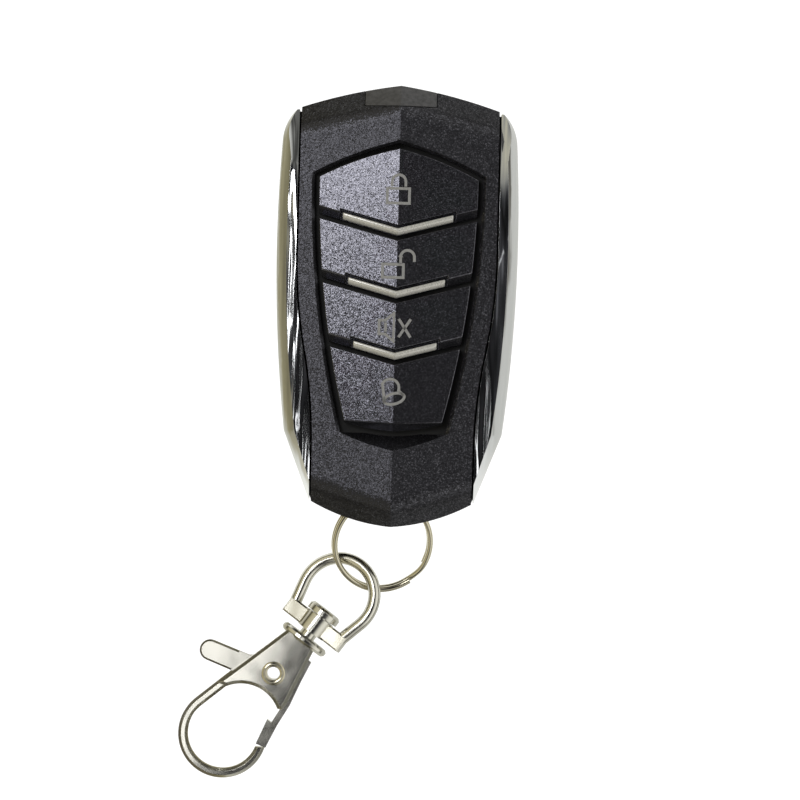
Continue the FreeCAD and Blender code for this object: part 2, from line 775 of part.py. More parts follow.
def chips():
    """The transmitter parts that stand on the board beside the switches, and the lamp."""
    board_half = D.half_high - D.board_inset
    chip_x = board_half * 0.49
    wide = D.chip_width / 2
    long = D.chip_length / 2
    area = rectangle(chip_x - wide, D.chip_y - long, chip_x + wide, D.chip_y + long)
    keep(prism("encoder_chip_block", area, BOARD_TOP, BOARD_TOP + " + 1.5"), "encoder_chip")
    keep(rod("resonator_can", (-board_half * 0.54, D.resonator_y), "Dims.resonator_dia", BOARD_TOP,
             BOARD_TOP + " + 1.6"), "rf_resonator")
    coil = doc.addObject("Part::Cylinder", "antenna_winding")
    coil.setExpression("Radius", "Dims.antenna_dia / 2")
    coil.setExpression("Height", "Dims.antenna_length")
    near_end = V(board_half * 0.54, -D.antenna_y + D.antenna_length / 2,
                 D.board_z + D.board + D.antenna_dia / 2)
    coil.Placement = FreeCAD.Placement(near_end, FreeCAD.Rotation(V(1, 0, 0), 90))
    keep(coil, "antenna_coil")
    lamp_z = f"{BOARD_TOP} + Dims.led_dia / 2"
    lens = new_body("led_lens")
    sketch = sketch_circle(lens, "led_circle", (0, 0), "Dims.led_dia", "XZ_Plane")
    sketch.setExpression("AttachmentOffset.Base.y", lamp_z)
    sketch.setExpression("AttachmentOffset.Base.z", "-Dims.board_top_y")
    feature = pad(lens, sketch, "Dims.window_y - Dims.board_top_y - 0.4")
    feature.Reversed = True
    half = D.led_dia / 2 + 0.2
    base = prism("led_base", rectangle(-half, D.board_top_y - 0.9, half, D.board_top_y + 0.4), BOARD_TOP,
                 f"{BOARD_TOP} + Dims.led_dia")
    keep(fuse("led", [lens, base]), "led")


# Wound wire

def arc_pair(p0, t0, p1, t1):
    """Two arcs that leave p0 along t0 and reach p1 along t1."""
    chord = p1 - p0
    both = t0 + t1
    bend = 2 * (1 - t0.dot(t1))
    if bend < 1e-9:
        reach = chord.dot(chord) / (2 * chord.dot(both))
    else:
        along = chord.dot(both)
        reach = (-along + math.sqrt(along ** 2 + bend * chord.dot(chord))) / bend
    q0 = p0 + t0 * reach
    q1 = p1 - t1 * reach
    middle = (q0 + q1) * 0.5
    return [arc_edge(p0, q0, middle), arc_edge(middle, q1, p1)]


def arc_edge(start, corner, end):
    """The arc that starts towards corner and ends as if coming from it."""
    half = (start + end) * 0.5
    up = corner - half
    height = up.Length
    base = (end - start).Length / 2
    if height < 1e-7:
        return Part.LineSegment(start, end).toShape()
    angle = math.atan2(height, base)
    radius = base / math.sin(angle)
    via = half + up * (radius * (1 - math.cos(angle)) / height)
    return Part.Arc(start, via, end).toShape()


def least_gap(edges, wire_dia):
    """The least clear distance between stretches of one wire, measured on points along it."""
    places = []
    travel = 0.0
    for edge in edges:
        for place in edge.discretize(Number=25)[:-1]:
            places.append((travel, place))
            travel += edge.Length / 24
    gap = None
    for i, (along, place) in enumerate(places):
        for further, other in places[i + 1:]:
            if further - along > 3 * wire_dia:
                clear = place.distanceToPoint(other) - wire_dia
                gap = clear if gap is None or clear < gap else gap
    return gap


def wound_tube(name, points, wire_dia):
    """One unbroken round wire through points, each a place and a heading, with straight ends."""
    first, last = points[0], points[-1]
    route = [(first[0] - first[1] * wire_dia, first[1])] + points
    route.append((last[0] + last[1] * wire_dia, last[1]))
    edges = []
    for (p0, t0), (p1, t1) in zip(route[:-1], route[1:]):
        edges += arc_pair(p0, t0, p1, t1)
    circle = Part.Wire([Part.makeCircle(wire_dia / 2, *route[0])])
    feature = doc.addObject("Part::Feature", name)
    feature.Shape = Part.Wire(edges).makePipeShell([circle], True, False)
    length = sum(edge.Length for edge in edges)
    print(f"{name}: volume {feature.Shape.Volume:.3f} of {math.pi * wire_dia ** 2 / 4 * length:.3f} mm3,",
          f"least gap to itself {least_gap(edges, wire_dia):.3f} mm")
    return feature


def coil_points(radius, pitch, turns):
    """A helix about Z, one point for each half turn."""
    points = []
    for step in range(int(round(turns * 2)) + 1):
        angle = step * math.pi
        place = V(radius * math.cos(angle), radius * math.sin(angle), pitch * step / 2)
        heading = V(-radius * math.sin(angle), radius * math.cos(angle), pitch / (2 * math.pi))
        heading.normalize()
        points.append((place, heading))
    return points


def place_points(points, placement):
    return [(placement.multVec(p), placement.Rotation.multVec(t)) for p, t in points]


def split_ring():
    """Two turns of round wire; one short step carries the lower turn to the upper."""
    stations = [20, 180, 340]
    route = []
    for lap, height in enumerate((-D.ring_pitch / 2, D.ring_pitch / 2)):
        for degrees in stations:
            angle = math.radians(degrees + 360 * lap)
            place = V(D.ring_mean * math.cos(angle), D.ring_mean * math.sin(angle), height)
            route.append((place, V(-math.sin(angle), math.cos(angle), 0)))
    lean = FreeCAD.Rotation(V(0, 0, 1), V(-D.ring_slope_x, -D.ring_slope_y, 1))
    turn = FreeCAD.Rotation(V(0, 0, 1), D.ring_turn_angle)
    place = FreeCAD.Placement(V(D.ring_x, D.ring_y, D.ring_z), lean.multiply(turn))
    keep(wound_tube("split_ring", place_points(route, place), D.ring_wire), "split_ring")


def ring_post():
    post = rod("ring_post_rod", (0, -D.post_y), "Dims.post_dia", "Dims.post_low_z", "Dims.post_high_z")
    keep(post, "ring_post")


# Clasp frame: u across towards the gate side, v along towards the hook, w towards the floor

# Where the hook ends, in degrees about its centre
HOOK_TIP = -17

def swivel_point():
    """Where the neck meets the bail's foot: the bail's bow hangs inside the ring at link_angle."""
    away = D.ring_mean + D.bail_arch_v + D.bail_arch - D.link_slack
    angle = math.radians(D.link_angle)
    return V(D.ring_x + away * math.cos(angle), D.ring_y + away * math.sin(angle), D.swivel_z)


def clasp_placement(roll=0.0):
    heading = FreeCAD.Rotation(V(0, 0, 1), D.heading_angle - 90)
    mirror = FreeCAD.Rotation(V(0, 1, 0), 180)
    spin = FreeCAD.Rotation(V(0, 1, 0), roll)
    return FreeCAD.Placement(swivel_point(), heading.multiply(mirror).multiply(spin))


def at_scale(path):
    """A clasp outline drawn in clasp units."""
    def grown(point):
        return None if point is None else (point[0] * D.clasp_unit, point[1] * D.clasp_unit)
    return [grown(path[0])] + [(kind, grown(via), grown(end)) for kind, via, end in path[1:]]


def mid_prism(name, path, thick):
    """A flat piece of the clasp, half of its thickness on each side of the middle plane."""
    return prism(name, path, f"-({thick}) / 2", f"({thick}) / 2")


def v_rod(name, diameter, low, high):
    """A round piece along the swivel axis between two distances v."""
    body = new_body(name)
    sketch = sketch_circle(body, name + "_circle", (0, 0), diameter, "XZ_Plane")
    sketch.setExpression("AttachmentOffset.Base.z", f"-({low})")
    feature = pad(body, sketch, f"({high}) - ({low})")
    feature.Reversed = True
    return body


def place_clasp(item, label, roll=0.0):
    item.Placement = clasp_placement(roll)
    return keep(item, label)


def between(name, start, end, radius):
    """A round bar from one point of the middle plane to another."""
    bar = doc.addObject("Part::Cylinder", name)
    bar.setExpression("Radius", radius)
    along = V(end[0] - start[0], end[1] - start[1], 0)
    bar.Height = along.Length
    bar.Placement = FreeCAD.Placement(V(start[0], start[1], 0), FreeCAD.Rotation(V(0, 0, 1), along))
    return bar


def swivel_bail():
    """A cast D-shaped bow with a flat foot bar and a round eye for the swivel neck."""
    arch = D.bail_arch
    foot = (-D.bail_foot, -D.bail_bar / 2)
    centre = (0.0, -D.bail_arch_v)
    gap = math.hypot(foot[0] - centre[0], foot[1] - centre[1])
    base_angle = math.atan2(foot[1] - centre[1], foot[0] - centre[0])
    touch_angle = base_angle + math.acos(arch / gap)
    touch = (centre[0] + arch * math.cos(touch_angle), centre[1] + arch * math.sin(touch_angle))
    legs = [between(f"bail_leg_{side_word(side)}", (-side * foot[0], foot[1]), (-side * touch[0], touch[1]),
                    "Dims.bail_wire / 2") for side in (-1, 1)]
    bow = doc.addObject("Part::Torus", "bail_bow")
    bow.setExpression("Radius1", "Dims.bail_arch")
    bow.setExpression("Radius2", "Dims.bail_wire / 2")
    bow.Angle3 = 540 - 2 * math.degrees(touch_angle)
    bow.Placement = FreeCAD.Placement(V(centre[0], centre[1], 0),
                                      FreeCAD.Rotation(V(0, 0, 1), math.degrees(touch_angle)))
    half = D.bail_foot + D.bail_wire / 2
    bar = mid_prism("bail_bar", rectangle(-half, -D.bail_bar, half, 0), "Dims.bail_bar_thick")

    def bar_edge(place):
        return abs(abs(place.z) - D.bail_bar_thick / 2) < 0.01

    bar = chamfer("bail_bar_edges", bar, D.bail_bar_thick * 0.12, bar_edge)
    eye = v_rod("bail_eye", "Dims.eye_dia", "-Dims.bail_bar - 0.1", "0.1")
    solid = fuse("bail_solid", legs + [bow, bar, eye])
    bore = v_rod("bail_bore", "Dims.neck_dia + 2 * Dims.swivel_play", "-Dims.bail_bar - 1", "1")
    place_clasp(cut("swivel_bail", solid, [bore]), "swivel_bail", D.bail_roll_angle)


def oval_disc(name, wide, high, low, thick):
    """An oval collar square to the swivel axis."""
    body = new_body(name)
    sketch = body.newObject("Sketcher::SketchObject", name + "_oval")
    sketch.AttachmentSupport = [(plane_of(body, "XZ_Plane"), "")]
    sketch.MapMode = "FlatFace"
    sketch.setExpression("AttachmentOffset.Base.z", f"-({low})")
    sketch.addGeometry(Part.Ellipse(V(0, 0, 0), wide / 2, high / 2), False)
    feature = pad(body, sketch, thick)
    feature.Reversed = True
    return body


def clasp_hook():
    """The hook's limb: a bar with bevelled edges, swept round from the body to the gate's seat."""
    limb = D.hook_outer - D.hook_inner
    mean = (D.hook_outer + D.hook_inner) / 2
    centre = (D.hook_u, D.hook_v)

    def on_ring(degrees):
        angle = math.radians(degrees)
        return (centre[0] + mean * math.cos(angle), centre[1] + mean * math.sin(angle))

    root = at_scale([(-5.3, 12.2)])[0]
    gap = math.hypot(root[0] - centre[0], root[1] - centre[1])
    root_angle = math.degrees(math.atan2(root[1] - centre[1], root[0] - centre[0])) % 360
    touch = root_angle - math.degrees(math.acos(mean / gap))
    body = new_body("hook_limb")
    spine = body.newObject("Sketcher::SketchObject", "hook_route")
    spine.AttachmentSupport = [(plane_of(body, "XY_Plane"), "")]
    spine.MapMode = "FlatFace"
    spine.addGeometry(edge_of("line", root, None, on_ring(touch)), False)
    halfway = on_ring((touch + HOOK_TIP) / 2)
    spine.addGeometry(edge_of("arc", on_ring(touch), halfway, on_ring(HOOK_TIP)), False)
    wide = limb / 2
    high = D.hook_thick / 2
    bevel = limb * 0.3
    corners = [(wide, bevel - high), (wide, high - bevel), (wide - bevel, high), (bevel - wide, high),
               (-wide, high - bevel), (-wide, bevel - high), (bevel - wide, -high), (wide - bevel, -high)]
    section = sketch_path(body, "hook_section", polygon([(root[0] + x, z) for x, z in corners]), "XZ_Plane",
                          str(-root[1]))
    sweep = body.newObject("PartDesign::AdditivePipe", "Limb")
    sweep.Profile = section
    sweep.Spine = spine
    body.Tip = sweep
    return body


def clasp_body():
    """The casting: swivel head, neck, collar, forked body and hook in one piece."""
    neck = v_rod("clasp_neck", "Dims.neck_dia", "-Dims.bail_bar - 0.5", "Dims.collar_v + 0.5")
    head = v_rod("clasp_head", "Dims.head_dia", "-Dims.bail_bar - 0.25 - Dims.head", "-Dims.bail_bar - 0.25")

    def head_rim(place):
        return place.y < -D.bail_bar - 0.3 and math.hypot(place.x, place.z) > D.head_dia / 2 - 0.1

    head = chamfer("clasp_head_rim", head, D.head * 0.3, head_rim)
    collar = oval_disc("clasp_collar", D.collar_wide, D.collar_high, "Dims.collar_v", "Dims.collar")

    def collar_rim(place):
        return abs(place.y - D.collar_v) < 0.01 or abs(place.y - D.collar_v - D.collar) < 0.01

    collar = chamfer("clasp_collar_rim", collar, D.collar * 0.3, collar_rim)
    block_path = at_scale([
        (-3.0, 2.0), ("line", None, (-4.7, 8.1)), ("line", None, (-6.0, 12.6)), ("line", None, (-6.7, 15.0)),
        ("line", None, (-5.15, 14.6)), ("arc", (-1.9, 12.0), (3.2, 12.6)), ("line", None, (3.9, 12.3)),
        ("line", None, (3.9, 11.3)), ("line", None, (2.2, 2.0)), ("line", None, (-3.0, 2.0))])
    block = mid_prism("clasp_block", block_path, "Dims.body_thick")

    def block_rim(place):
        return abs(abs(place.z) - D.body_thick / 2) < 0.01 and place.y > 2.1 * D.clasp_unit

    block = chamfer("clasp_block_rim", block, D.body_thick * 0.11, block_rim)
    solid = fuse("clasp_solid", [neck, head, collar, block, clasp_hook()])
    slit_path = at_scale(polygon([(-9, 4.6), (-9, 13.1), (-3.5, 13.1), (4.6, 13.3), (4.6, 3.4),
                                  (-3.0, 3.4)]))
    slit = mid_prism("clasp_slit", slit_path, "Dims.gate_thick + 2 * Dims.gate_play")
    bore = rod("clasp_bore", (D.rivet_u, D.rivet_v), f"Dims.rivet_dia + {FITS}", "-Dims.body_thick",
               "Dims.body_thick")
    place_clasp(cut("clasp_body", solid, [slit, bore]), "clasp_body")


def rivet():
    """A tubular rivet with its two ends rolled over."""
    bore = D.rivet_bore / 2
    shank = D.rivet_dia / 2
    head = D.rivet_head / 2
    face = D.body_thick / 2
    crest = ((bore + head) / 2, face + D.rivet_roll)
    body = new_body("rivet_form")
    profile = body.newObject("Sketcher::SketchObject", "rivet_profile")
    profile.AttachmentSupport = [(plane_of(body, "XZ_Plane"), "")]
    profile.MapMode = "FlatFace"
    profile.AttachmentOffset = FreeCAD.Placement(V(D.rivet_u, 0, -D.rivet_v), FreeCAD.Rotation())
    lip = D.rivet_roll * 0.6
    path = polygon([(bore, -face - lip), (bore, face + lip), crest, (head, face + lip), (head, face),
                    (shank, face), (shank, -face), (head, -face), (head, -face - lip),
                    (crest[0], -crest[1])])
    here = path[0]
    for kind, via, end in path[1:]:
        profile.addGeometry(edge_of(kind, here, via, end), False)
        here = end
    join_ends(profile, len(path) - 1)
    turned = body.newObject("PartDesign::Revolution", "Turned")
    turned.Profile = profile
    turned.ReferenceAxis = (profile, ["V_Axis"])
    turned.Angle = 360
    body.Tip = turned
    place_clasp(body, "rivet")


def gate_lever():
    """The spring gate: a closing nose, a back strip and the thumb tab in one flat piece."""
    plate_path = at_scale(polygon([
        (2.35, 3.75), (3.05, 3.75), (3.6, 7.1), (4.45, 11.1), (4.8, 15.0), (3.8, 15.2), (3.6, 12.4),
        (2.4, 11.3), (-3.4, 11.3), (-6.15, 12.3), (-6.85, 9.1), (-5.3, 8.65), (-3.4, 7.25),
        (-1.9, 7.25), (-1.0, 6.1), (1.4, 6.1)]))
    plate = mid_prism("gate_plate", plate_path, "Dims.gate_thick")

    tab_path = at_scale([
        (-4.6, 11.7), ("line", None, (-6.15, 12.3)), ("line", None, (-10.17, 13.32)),
        ("arc", (-12.15, 12.16), (-10.99, 10.18)), ("line", None, (-5.3, 8.65)), ("line", None, (-4.6, 11.7))])
    tab = mid_prism("gate_tab", tab_path, "Dims.gate_thick")

    def tab_edge(place):
        return abs(abs(place.z) - D.gate_thick / 2) < 0.01

    tab = chamfer("gate_tab_edges", tab, D.gate_thick * 0.25, tab_edge)
    nose_path = at_scale(polygon([(4.8, 14.9), (5.42, 18.55), (3.85, 18.95), (2.98, 14.9)]))
    nose = mid_prism("gate_nose", nose_path, "Dims.hook_thick - 0.2")
    solid = fuse("gate_solid", [plate, tab, nose])
    bore = rod("gate_bore", (D.rivet_u, D.rivet_v), f"Dims.rivet_dia + {FITS}", "-3", "3")
    place_clasp(cut("gate_lever", solid, [bore]), "gate_lever")


def gate_spring():
    """A small coil in the fork that holds the gate against the hook."""
    seat = V(-2.6 * D.clasp_unit, 3.8 * D.clasp_unit, 0)
    stand = FreeCAD.Placement(seat, FreeCAD.Rotation(V(1, 0, 0), -90))
    local = place_points(coil_points(D.gate_coil, D.gate_pitch, D.gate_turns), stand)
    keep(wound_tube("gate_spring", place_points(local, clasp_placement()), D.gate_wire), "gate_spring")


lower_case()
upper_case()
led_window()
trim(1)
trim(-1)
keypad_mat()
circuit_board()
for word in KEYS:
    tact_switch(word)
    key_cap(word)
for word in BARRED:
    chevron_bar(word)
screws()
coin_cell()
chips()
ring_post()
split_ring()
swivel_bail()
clasp_body()
rivet()
gate_lever()
gate_spring()

doc.recompute()
faults = []
for item in doc.Objects:
    if "Invalid" in item.State or "Error" in item.State:
        faults.append(f"{item.Name}: {item.State}")
for item in parts:
    if item.Shape.isNull() or not item.Shape.isValid():
        faults.append(f"{item.Label}: shape not valid")
if faults:
    raise RuntimeError("; ".join(faults))

os.makedirs("parts", exist_ok=True)
for item in parts:
    item.Shape.exportStep(f"parts/{item.Label}.step")
    print(item.Label, len(item.Shape.Solids), round(item.Shape.Volume, 2))
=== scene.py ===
import json
import math
from collections import namedtuple

import bmesh
import bpy
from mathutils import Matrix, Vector


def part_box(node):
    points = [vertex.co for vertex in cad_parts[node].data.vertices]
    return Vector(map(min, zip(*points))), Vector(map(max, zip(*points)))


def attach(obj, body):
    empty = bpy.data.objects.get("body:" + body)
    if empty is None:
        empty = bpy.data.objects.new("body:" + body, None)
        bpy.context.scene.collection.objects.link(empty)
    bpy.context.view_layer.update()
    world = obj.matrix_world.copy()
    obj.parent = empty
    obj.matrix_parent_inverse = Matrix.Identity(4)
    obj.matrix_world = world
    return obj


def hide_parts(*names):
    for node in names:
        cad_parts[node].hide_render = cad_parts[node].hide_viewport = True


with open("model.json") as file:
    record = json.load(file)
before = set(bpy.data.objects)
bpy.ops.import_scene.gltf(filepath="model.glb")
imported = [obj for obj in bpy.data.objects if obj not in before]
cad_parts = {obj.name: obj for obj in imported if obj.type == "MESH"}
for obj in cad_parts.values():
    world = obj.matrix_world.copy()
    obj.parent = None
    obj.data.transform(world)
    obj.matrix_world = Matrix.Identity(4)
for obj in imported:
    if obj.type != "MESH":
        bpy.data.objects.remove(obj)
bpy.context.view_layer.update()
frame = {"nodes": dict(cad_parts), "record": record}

# Car alarm remote lying on its back, seen from straight above.
# Everything is in metres in the CAD frame: +Y to the lamp end, +Z out of the key face.

MM = 0.001
RECORD = frame["record"]
SLOT_OF = {entry["node"]: entry["material_slot"] for entry in RECORD["subparts"]}
BODY_OF = {name: body for body, names in RECORD["behaviour"]["bodies"].items() for name in names}

# The photograph's framing, and the level above the floor where it is true
PHOTO_PIXELS = 800
PIXELS_PER_MM = 6.47
PHOTO_WIDTH = PHOTO_PIXELS / PIXELS_PER_MM * MM
PHOTO_CENTRE = (1.007 * MM, -14.415 * MM)
PHOTO_ROLL = math.radians(1.48)
FRAMED_LEVEL = 6 * MM
CAMERA_HEIGHT = 0.9
CAMERA_NEAR = 0.01
SENSOR_MM = 36

# Front face of the keys: a roof with its ridge along X = 0
KEY_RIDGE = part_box("button_lock")[1].z
ROOF_SLOPE = 0.133

# Pictograms: width of a stroke, radius of the padlocks' bows and how near the ridge a corner is on it, in
# millimetres, how far a sharp mitre is cut back, and the ink's clearance from the face and its thickness
STROKE = 0.42
BOW = 1.05
RIDGE_NEAR = 1e-5
MITRE_LIMIT = 0.5
OPEN, CLOSED = False, True
INK_LIFT = 0.004 * MM
INK_FILM = 0.014 * MM

# Extrusion gives a film's sides in no fixed order, so its faces are put in order along this direction
FACE_ORDER = Vector((1, 10, 100))

# Cleaning of the CAD's triangles: corners nearer than this are one, faces turned less than this are one
WELD = 1e-6
LEVEL_TURN = math.radians(0.4)

# Rounded edges: width in millimetres by node, steps in a rounding, and the least turn that is rounded
EDGE_ROUND = {
    "upper_case": 0.18, "lower_case": 0.35, "trim_left": 0.5, "trim_right": 0.5, "led_window": 0.12,
    "button_lock": 0.16, "button_unlock": 0.16, "button_mute": 0.16, "button_bell": 0.16,
    "bar_lock": 0.2, "bar_unlock": 0.2, "bar_mute": 0.2,
    "swivel_bail": 0.25, "clasp_body": 0.45, "gate_lever": 0.38, "rivet": 0.12,
    "cell_clip": 0.08, "encoder_chip": 0.1,
}
ROUND_STEPS = 3
ROUNDED_TURN = math.radians(24)

# What tells a flat face from the steps of a curved one: areas in square millimetres, turns in degrees, and
# how many times larger than its neighbour a step may be
FLAT_AREA = 3.0
STEP_AREA = 1.0
STEP_TURNS = (0.5, 12)
STEP_RATIO = 5

# Faces that meet at less than this turn shade as one surface
SMOOTH_TURN = math.radians(50)

# The front shell's roof falls to its two ends. The edges there are told by their turn in degrees and the
# areas beside them in square millimetres. Each face takes part in the soft turn as far as END_BEND, and a
# corner belongs to it where its face looks the bend's way within BEND_FACING and it lies within BEND_EDGE.
END_TURNS = (30, 50)
END_AREA = 40
END_BEND = 1.5 * MM
BEND_FACING = math.radians(30)
BEND_EDGE = 1.001
Bend = namedtuple("Bend", "middle across low high side")

# The clasp's flat cast faces are slightly crowned across the swivel's axis: for each piece, where the crown
# is highest, in millimetres from the axis, and how much the face leans for each millimetre beyond it
SWIVEL = next(joint for joint in RECORD["behaviour"]["joints"] if joint["name"] == "clasp_swivel")
CROWN = {"clasp_body": (-3.5, 0.0075), "gate_lever": (-8.0, 0.0033)}
CROWNED_LEVEL = 0.99


# Colour and node helpers

def linear(hex_colour):
    """An sRGB hex colour as linear RGBA."""
    channels = [int(hex_colour[i:i + 2], 16) / 255 for i in (1, 3, 5)]
    return tuple(c / 12.92 if c <= 0.04045 else ((c + 0.055) / 1.055) ** 2.4 for c in channels) + (1.0,)


def node(tree, kind, inputs=None, stops=(), **settings):
    """Adds a node with its settings. An input is a value or what it is linked to: a socket, a node, which
    stands for its first output, or a list of these. The stops are a colour ramp's, in hex or linear."""
    made = tree.nodes.new(kind)
    for name, setting in settings.items():
        setattr(made, name, setting)
    for name, given in (inputs or {}).items():
        for source in given if isinstance(given, list) else [given]:
            if isinstance(source, bpy.types.Node):
                source = source.outputs[0]
            if isinstance(source, bpy.types.NodeSocket):
                tree.links.new(source, made.inputs[name])
            else:
                made.inputs[name].default_value = source
    if stops:
        elements = made.color_ramp.elements
        while len(elements) < len(stops):
            elements.new(0.5)
        for element, (position, colour) in zip(elements, stops):
            element.position = position
            element.color = linear(colour) if isinstance(colour, str) else colour
    return made


def new_material(name):
    """A material with an empty tree."""
    material = bpy.data.materials.new(name)
    material.use_nodes = True
    tree = material.node_tree
    tree.nodes.clear()
    return material, tree


def pattern(tree, kind, size_mm, place=None, **inputs):
    """A texture whose features are about size_mm across, laid on the piece itself or on the place given."""
    if place is None:
        place = node(tree, "ShaderNodeTexCoord").outputs["Object"]
    return node(tree, kind, {"Vector": place, "Scale": 1 / (size_mm * MM), **inputs})


# Finishes

def flake_paint(name, base, light, glint, flake_mm, roughness, tilt):
    """Metallic paint on moulded ABS. Its flakes lie at slightly different angles, so it is grainy where it
    is lit, and a few of them glint. Real flakes are finer, and these are as coarse as they need to show."""
    material, tree = new_material(name)
    flakes = pattern(tree, "ShaderNodeTexVoronoi", size_mm=flake_mm, Randomness=1.0).outputs["Color"]
    cloud = pattern(tree, "ShaderNodeTexNoise", size_mm=3.2 * flake_mm, Detail=3.0, Roughness=0.7)
    chance = node(tree, "ShaderNodeSeparateColor", {"Color": flakes})
    shade = node(tree, "ShaderNodeValToRGB", {"Fac": chance},
                 stops=[(0.0, base), (0.86, light), (0.97, glint)])
    centred = node(tree, "ShaderNodeVectorMath", {0: flakes, 1: (0.5, 0.5, 0.5)}, operation="SUBTRACT")
    leaned = node(tree, "ShaderNodeVectorMath", {0: centred, "Scale": tilt}, operation="SCALE")
    level = node(tree, "ShaderNodeNewGeometry").outputs["Normal"]
    summed = node(tree, "ShaderNodeVectorMath", {0: level, 1: leaned}, operation="ADD")
    facing = node(tree, "ShaderNodeVectorMath", {0: summed}, operation="NORMALIZE")
    rough = node(tree, "ShaderNodeMapRange",
                 {"Value": cloud, "To Min": roughness - 0.06, "To Max": roughness + 0.08})
    shader = node(tree, "ShaderNodeBsdfPrincipled",
                  {"Base Color": shade, "Normal": facing, "Roughness": rough, "Metallic": 0.85})
    node(tree, "ShaderNodeOutputMaterial", {"Surface": shader})
    return material


def moulded(name, colour, roughness, grain_mm, height_mm):
    """Plastic or rubber from a mould with spark-eroded walls, which leave a fine matt grain on it."""
    material, tree = new_material(name)
    texture = pattern(tree, "ShaderNodeTexNoise", grain_mm, Detail=4.0, Roughness=0.6)
    bump = node(tree, "ShaderNodeBump", {"Height": texture, "Strength": 0.5, "Distance": height_mm * MM})
    rough = node(tree, "ShaderNodeMapRange",
                 {"Value": texture, "To Min": roughness - 0.08, "To Max": roughness + 0.1})
    shader = node(tree, "ShaderNodeBsdfPrincipled",
                  {"Normal": bump, "Roughness": rough, "Base Color": linear(colour), "IOR": 1.5})
    node(tree, "ShaderNodeOutputMaterial", {"Surface": shader})
    return material


def plated(name, colour, roughness, wave_mm, wave_height_mm, draw=(1.0, 1.0, 1.0), metal=1.0):
    """Bright plating: nearly a mirror, with the slight waviness of what lies under it and faint scuffs. A
    draw below 1 stretches the waves along that axis."""
    material, tree = new_material(name)
    own_place = node(tree, "ShaderNodeTexCoord").outputs["Object"]
    drawn = node(tree, "ShaderNodeMapping", {"Vector": own_place, "Scale": draw})
    wave = pattern(tree, "ShaderNodeTexNoise", wave_mm, place=drawn, Detail=1.0)
    scuffs = pattern(tree, "ShaderNodeTexNoise", size_mm=0.5, Detail=6.0, Roughness=0.75)
    bump = node(tree, "ShaderNodeBump", {"Height": wave, "Strength": 1.0, "Distance": wave_height_mm * MM})
    rough = node(tree, "ShaderNodeMapRange",
                 {"Value": scuffs, "To Min": roughness, "To Max": roughness + 0.05})
    shader = node(tree, "ShaderNodeBsdfPrincipled",
                  {"Normal": bump, "Roughness": rough, "Base Color": linear(colour), "Metallic": metal})
    node(tree, "ShaderNodeOutputMaterial", {"Surface": shader})
    return material


def clouded(name, kind, size_mm, roughness, stops, **inputs):
    """A smooth surface between two tones, which a fine pattern mixes."""
    material, tree = new_material(name)
    cloud = pattern(tree, kind, size_mm, **inputs)
    tone = node(tree, "ShaderNodeValToRGB", {"Fac": cloud}, stops=stops)
    shader = node(tree, "ShaderNodeBsdfPrincipled", {"Base Color": tone, "Roughness": roughness})
    node(tree, "ShaderNodeOutputMaterial", {"Surface": shader})
    return material


